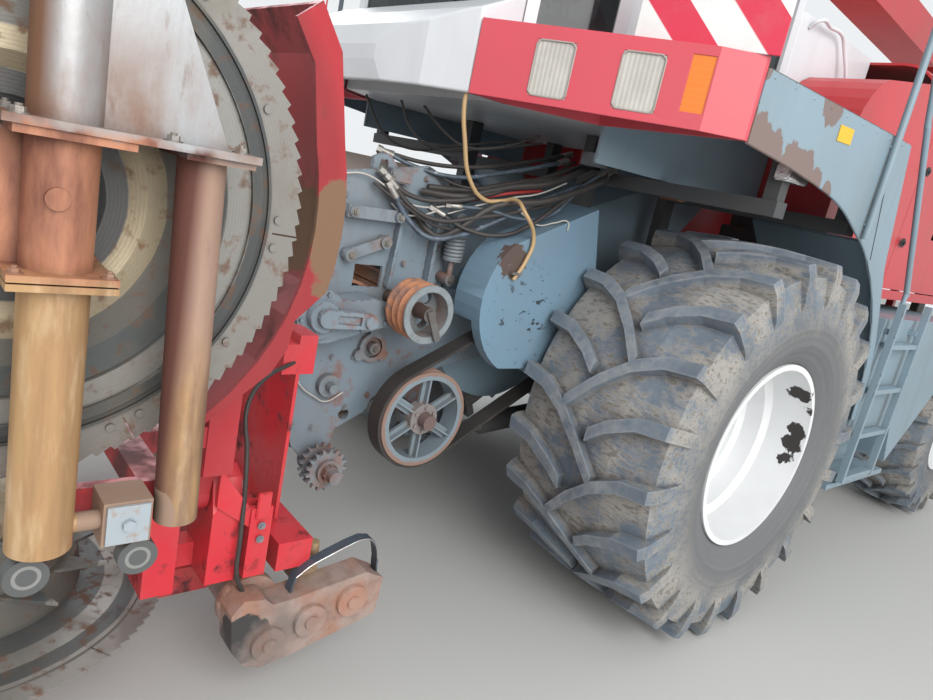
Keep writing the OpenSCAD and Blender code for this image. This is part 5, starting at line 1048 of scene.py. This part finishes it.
# %% Mudguard trim
ARCH_FRONT = [(-0.83, 2.107), (-0.43, 2.072)]
ARCH = ((91, 0.220), (77.3, 0.155), (69, 0.138), (52.5, 0.107), (36.5, 0.088), (21, 0.069), (6.3, 0.056))
p = sticker = Finish("yellow plate", (0.80, 0.47, 0.02), 0.45, slot="amber_lens")
p.cover(p.noise(40, 4), (0.55, 0.33, 0.04), 0.6, share=0.35)
arch = ARCH_FRONT[:]
for degrees, clear in ARCH:
    a, r = math.radians(degrees), FRONT_R + clear
    arch.append((r * math.cos(a), FRONT_R + r * math.sin(a)))
for way, side_name in SIDES:
    tube(f"arch_bead_{side_name}", [(way * 1.494, y, z - 0.002) for y, z in arch], 0.007, grey)
    rivets = [((way * 1.4995, -0.78 + 0.145 * i, 2.318), (way, 0, 0), 0.008, 0.004, 14, 0.004) for i in range(9)]
    discs(f"skirt_rivets_{side_name}", rivets, grey)
tube("skirt_seam", [(1.5003, 0.320, 2.230), (1.5003, 0.459, 1.820)], 0.0022, plastic, smooth=False)
yellow = [(1.5012, -0.232, 2.222), (1.5012, -0.112, 2.226), (1.5012, -0.114, 2.284), (1.5012, -0.234, 2.280)]
plate("yellow_plate", yellow, 0.0014, sticker, bevel=0)
box_piece("bright_box", (1.405, -0.43, 1.975), (1.465, -0.27, 2.035), chrome, bevel=0.006)

p = tread = Finish("ribbed deck plate", (0.10, 0.115, 0.125), 0.5, 0.3, "grey_paint")
ribs_a = p.wave(p.add(p.axis("X"), p.axis("Y")), 150.0)
ribs_b = p.wave(p.less(p.axis("X"), p.axis("Y")), 150.0)
p.cover(p.noise(4, 5), (0.16, 0.14, 0.12), 0.85, share=0.7)
p.bump(p.math("MAXIMUM", ribs_a, ribs_b), 0.6, 0.004)
for way, side_name in SIDES:
    x0, x1 = sorted((way * 0.875, way * 1.488))
    box_piece(f"deck_plate_{side_name}", (x0, -0.80, 2.3352), (x1, 0.42, 2.339), tread, bevel=0.001)
print("mudguards trimmed with", 2 * len(rivets), "rivets")

# %% [markdown]
# ## The cab
#
# A wiper parks across the windscreen, the mirrors have real glass, a beacon
# stands on the roof and the door has a handle. Each of these is thin, so it
# lies on the CAD surface with a fraction of a millimetre between.

# %% Cab fittings
CAB_FRONT, CAB_FLOOR = -1.12, 2.14
MIRROR_Y, MIRROR_Z = CAB_FRONT - 0.1795, (2.99, 3.37)
p = mirror_glass = Finish("mirror glass", (0.55, 0.58, 0.60), 0.03, 1.0, "glass")
p.cover(p.patches(3, 5, 0.55, 0.8), (0.3, 0.29, 0.27), 0.4, share=0.5)
arm = [(0.10, CAB_FRONT - 0.020, 2.46), (0.06, CAB_FRONT - 0.030, 2.60), (-0.16, CAB_FRONT - 0.030, 3.02)]
tube("wiper_arm", arm, 0.007, plastic, smooth=False)
blade = [(-0.02, CAB_FRONT - 0.016, 2.72), (-0.34, CAB_FRONT - 0.016, 3.22)]
tube("wiper_blade", blade, 0.006, hose_rubber, smooth=False)
discs("wiper_hub", [((0.10, CAB_FRONT, 2.46), (0, -1, 0), 0.024, 0.028, 24)], plastic)
for way, side_name in SIDES:
    x0, x1 = sorted((way * 1.100, way * 1.260))
    z0, z1 = MIRROR_Z
    corners = [(x1, MIRROR_Y, z0), (x0, MIRROR_Y, z0), (x0, MIRROR_Y, z1), (x1, MIRROR_Y, z1)]
    plate(f"mirror_glass_{side_name}", corners, -0.0015, mirror_glass, bevel=0)
foot, dome = ((0.60, 0.20, 3.688), (0, 0, 1), 0.065, 0.03, 32), ((0.60, 0.20, 3.716), (0, 0, 1), 0.052, 0.11, 32, 0.042)
discs("beacon", [foot, dome], amber)
handle = [(0.872, -0.60, 2.86), (0.905, -0.60, 2.86), (0.905, -0.60, 2.98), (0.872, -0.60, 2.98)]
tube("door_handle", handle, 0.009, plastic, "door", smooth=False)
print("cab fitted")

# %% [markdown]
# ## The driver's seat
#
# The CAD seat is two plain blocks, which show through the glass. Cushions in
# cloth are fitted over them. A cushion is a superellipsoid: a sphere whose
# sines and cosines are raised to a small power, so its faces are crowned and
# its sides pull in towards the corners without any simulation.

# %% Seat cushions
LEVELS, SPOKES, SQUARENESS = 24, 40, 0.24


def power(value):
    return math.copysign(abs(value) ** SQUARENESS, value)


def cushion(name, centre, half, lean=0.0):
    """A crowned pad, from its middle, half its size each way, and its lean in radians."""
    turn = Matrix.Rotation(lean, 4, "X")
    bm = bmesh.new()

    def vertex(x, y, z):
        return bm.verts.new(Vector(centre) + turn @ Vector((half[0] * x, half[1] * y, half[2] * z)))

    grid = []
    for i in range(1, LEVELS):
        rise = math.pi * (i / LEVELS - 0.5)
        wide, high = power(math.cos(rise)), power(math.sin(rise))
        turns = [2 * math.pi * j / SPOKES for j in range(SPOKES)]
        grid.append([vertex(wide * power(math.cos(a)), wide * power(math.sin(a)), high) for a in turns])
    for low, high in zip(grid, grid[1:]):
        for j in range(SPOKES):
            bm.faces.new((low[j], low[(j + 1) % SPOKES], high[(j + 1) % SPOKES], high[j]))
    for row, depth in ((grid[0], -1), (grid[-1], 1)):
        pole = vertex(0, 0, depth)
        for j in range(SPOKES):
            pair = (row[j], row[(j + 1) % SPOKES])
            bm.faces.new((*pair[::depth], pole))
    piece = from_bmesh(name, bm, seat_cloth, smooth=80)


cushion("seat_cushion", (0, 0.025, CAB_FLOOR + 0.395), (0.296, 0.292, 0.082))
cushion("seat_back", (0, 0.283, CAB_FLOOR + 0.770), (0.272, 0.098, 0.362), -0.09)
POST = ((0.325, 0.58), (0.325, 0.43), (0.24, 0.37))
for way, side_name in SIDES:
    cushion(f"arm_rest_{side_name}", (way * 0.325, 0.05, CAB_FLOOR + 0.60), (0.034, 0.17, 0.030))
    post = [(way * x, 0.12, CAB_FLOOR + rise) for x, rise in POST]
    tube(f"arm_rest_post_{side_name}", post, 0.012, plastic, smooth=False)
print("seat covered")

# %% [markdown]
# ## Body and rear
#
# The red panels have round latches on the side doors, and a plate and a
# reflector pair on the tail. A white grab bar lies along each side of the rear
# cabinet.

# %% Body fittings
TAIL_Y = 4.2415
p = reflector = Finish("red reflector", (0.42, 0.012, 0.012), 0.25, slot="red_paint")
cells = p.both(p.wave(p.axis("X"), 700.0), p.wave(p.axis("Z"), 700.0))
p.cover(p.between(cells, 0.0, 0.5), (0.25, 0.006, 0.006))
p.bump(cells, 0.3, 0.002)
GRAB = [(0.853, 0.52, 2.845), (0.888, 0.52, 2.875), (0.890, 0.66, 2.884), (0.890, 0.80, 2.882),
        (0.890, 0.845, 2.850), (0.890, 0.97, 2.640), (0.853, 0.985, 2.615)]
for way, side_name in SIDES:
    latches = []
    for z in (1.95, 2.35):
        latches += [((way * 1.2625, 1.47, z), (way, 0, 0), 0.026, 0.006, 32),
                    ((way * 1.2675, 1.47, z), (way, 0, 0), 0.010, 0.010, 6)]
    discs(f"door_latches_{side_name}", latches, plastic, "panel_" + side_name)
    round_lens = ((way * 1.10, TAIL_Y - 0.001, 1.76), (0, 1, 0), 0.045, 0.010, 32)
    discs(f"rear_reflector_{side_name}", [round_lens], reflector)
for way, side_name in SIDES:
    tube(f"grab_bar_{side_name}", [(way * x, y, z) for x, y, z in GRAB], 0.010, white)
rear_plate = [(-0.26, TAIL_Y, 1.68), (0.26, TAIL_Y, 1.68), (0.26, TAIL_Y, 1.79), (-0.26, TAIL_Y, 1.79)]
plate("blank_plate", rear_plate, 0.0010, white, bevel=0)
print("body fitted")
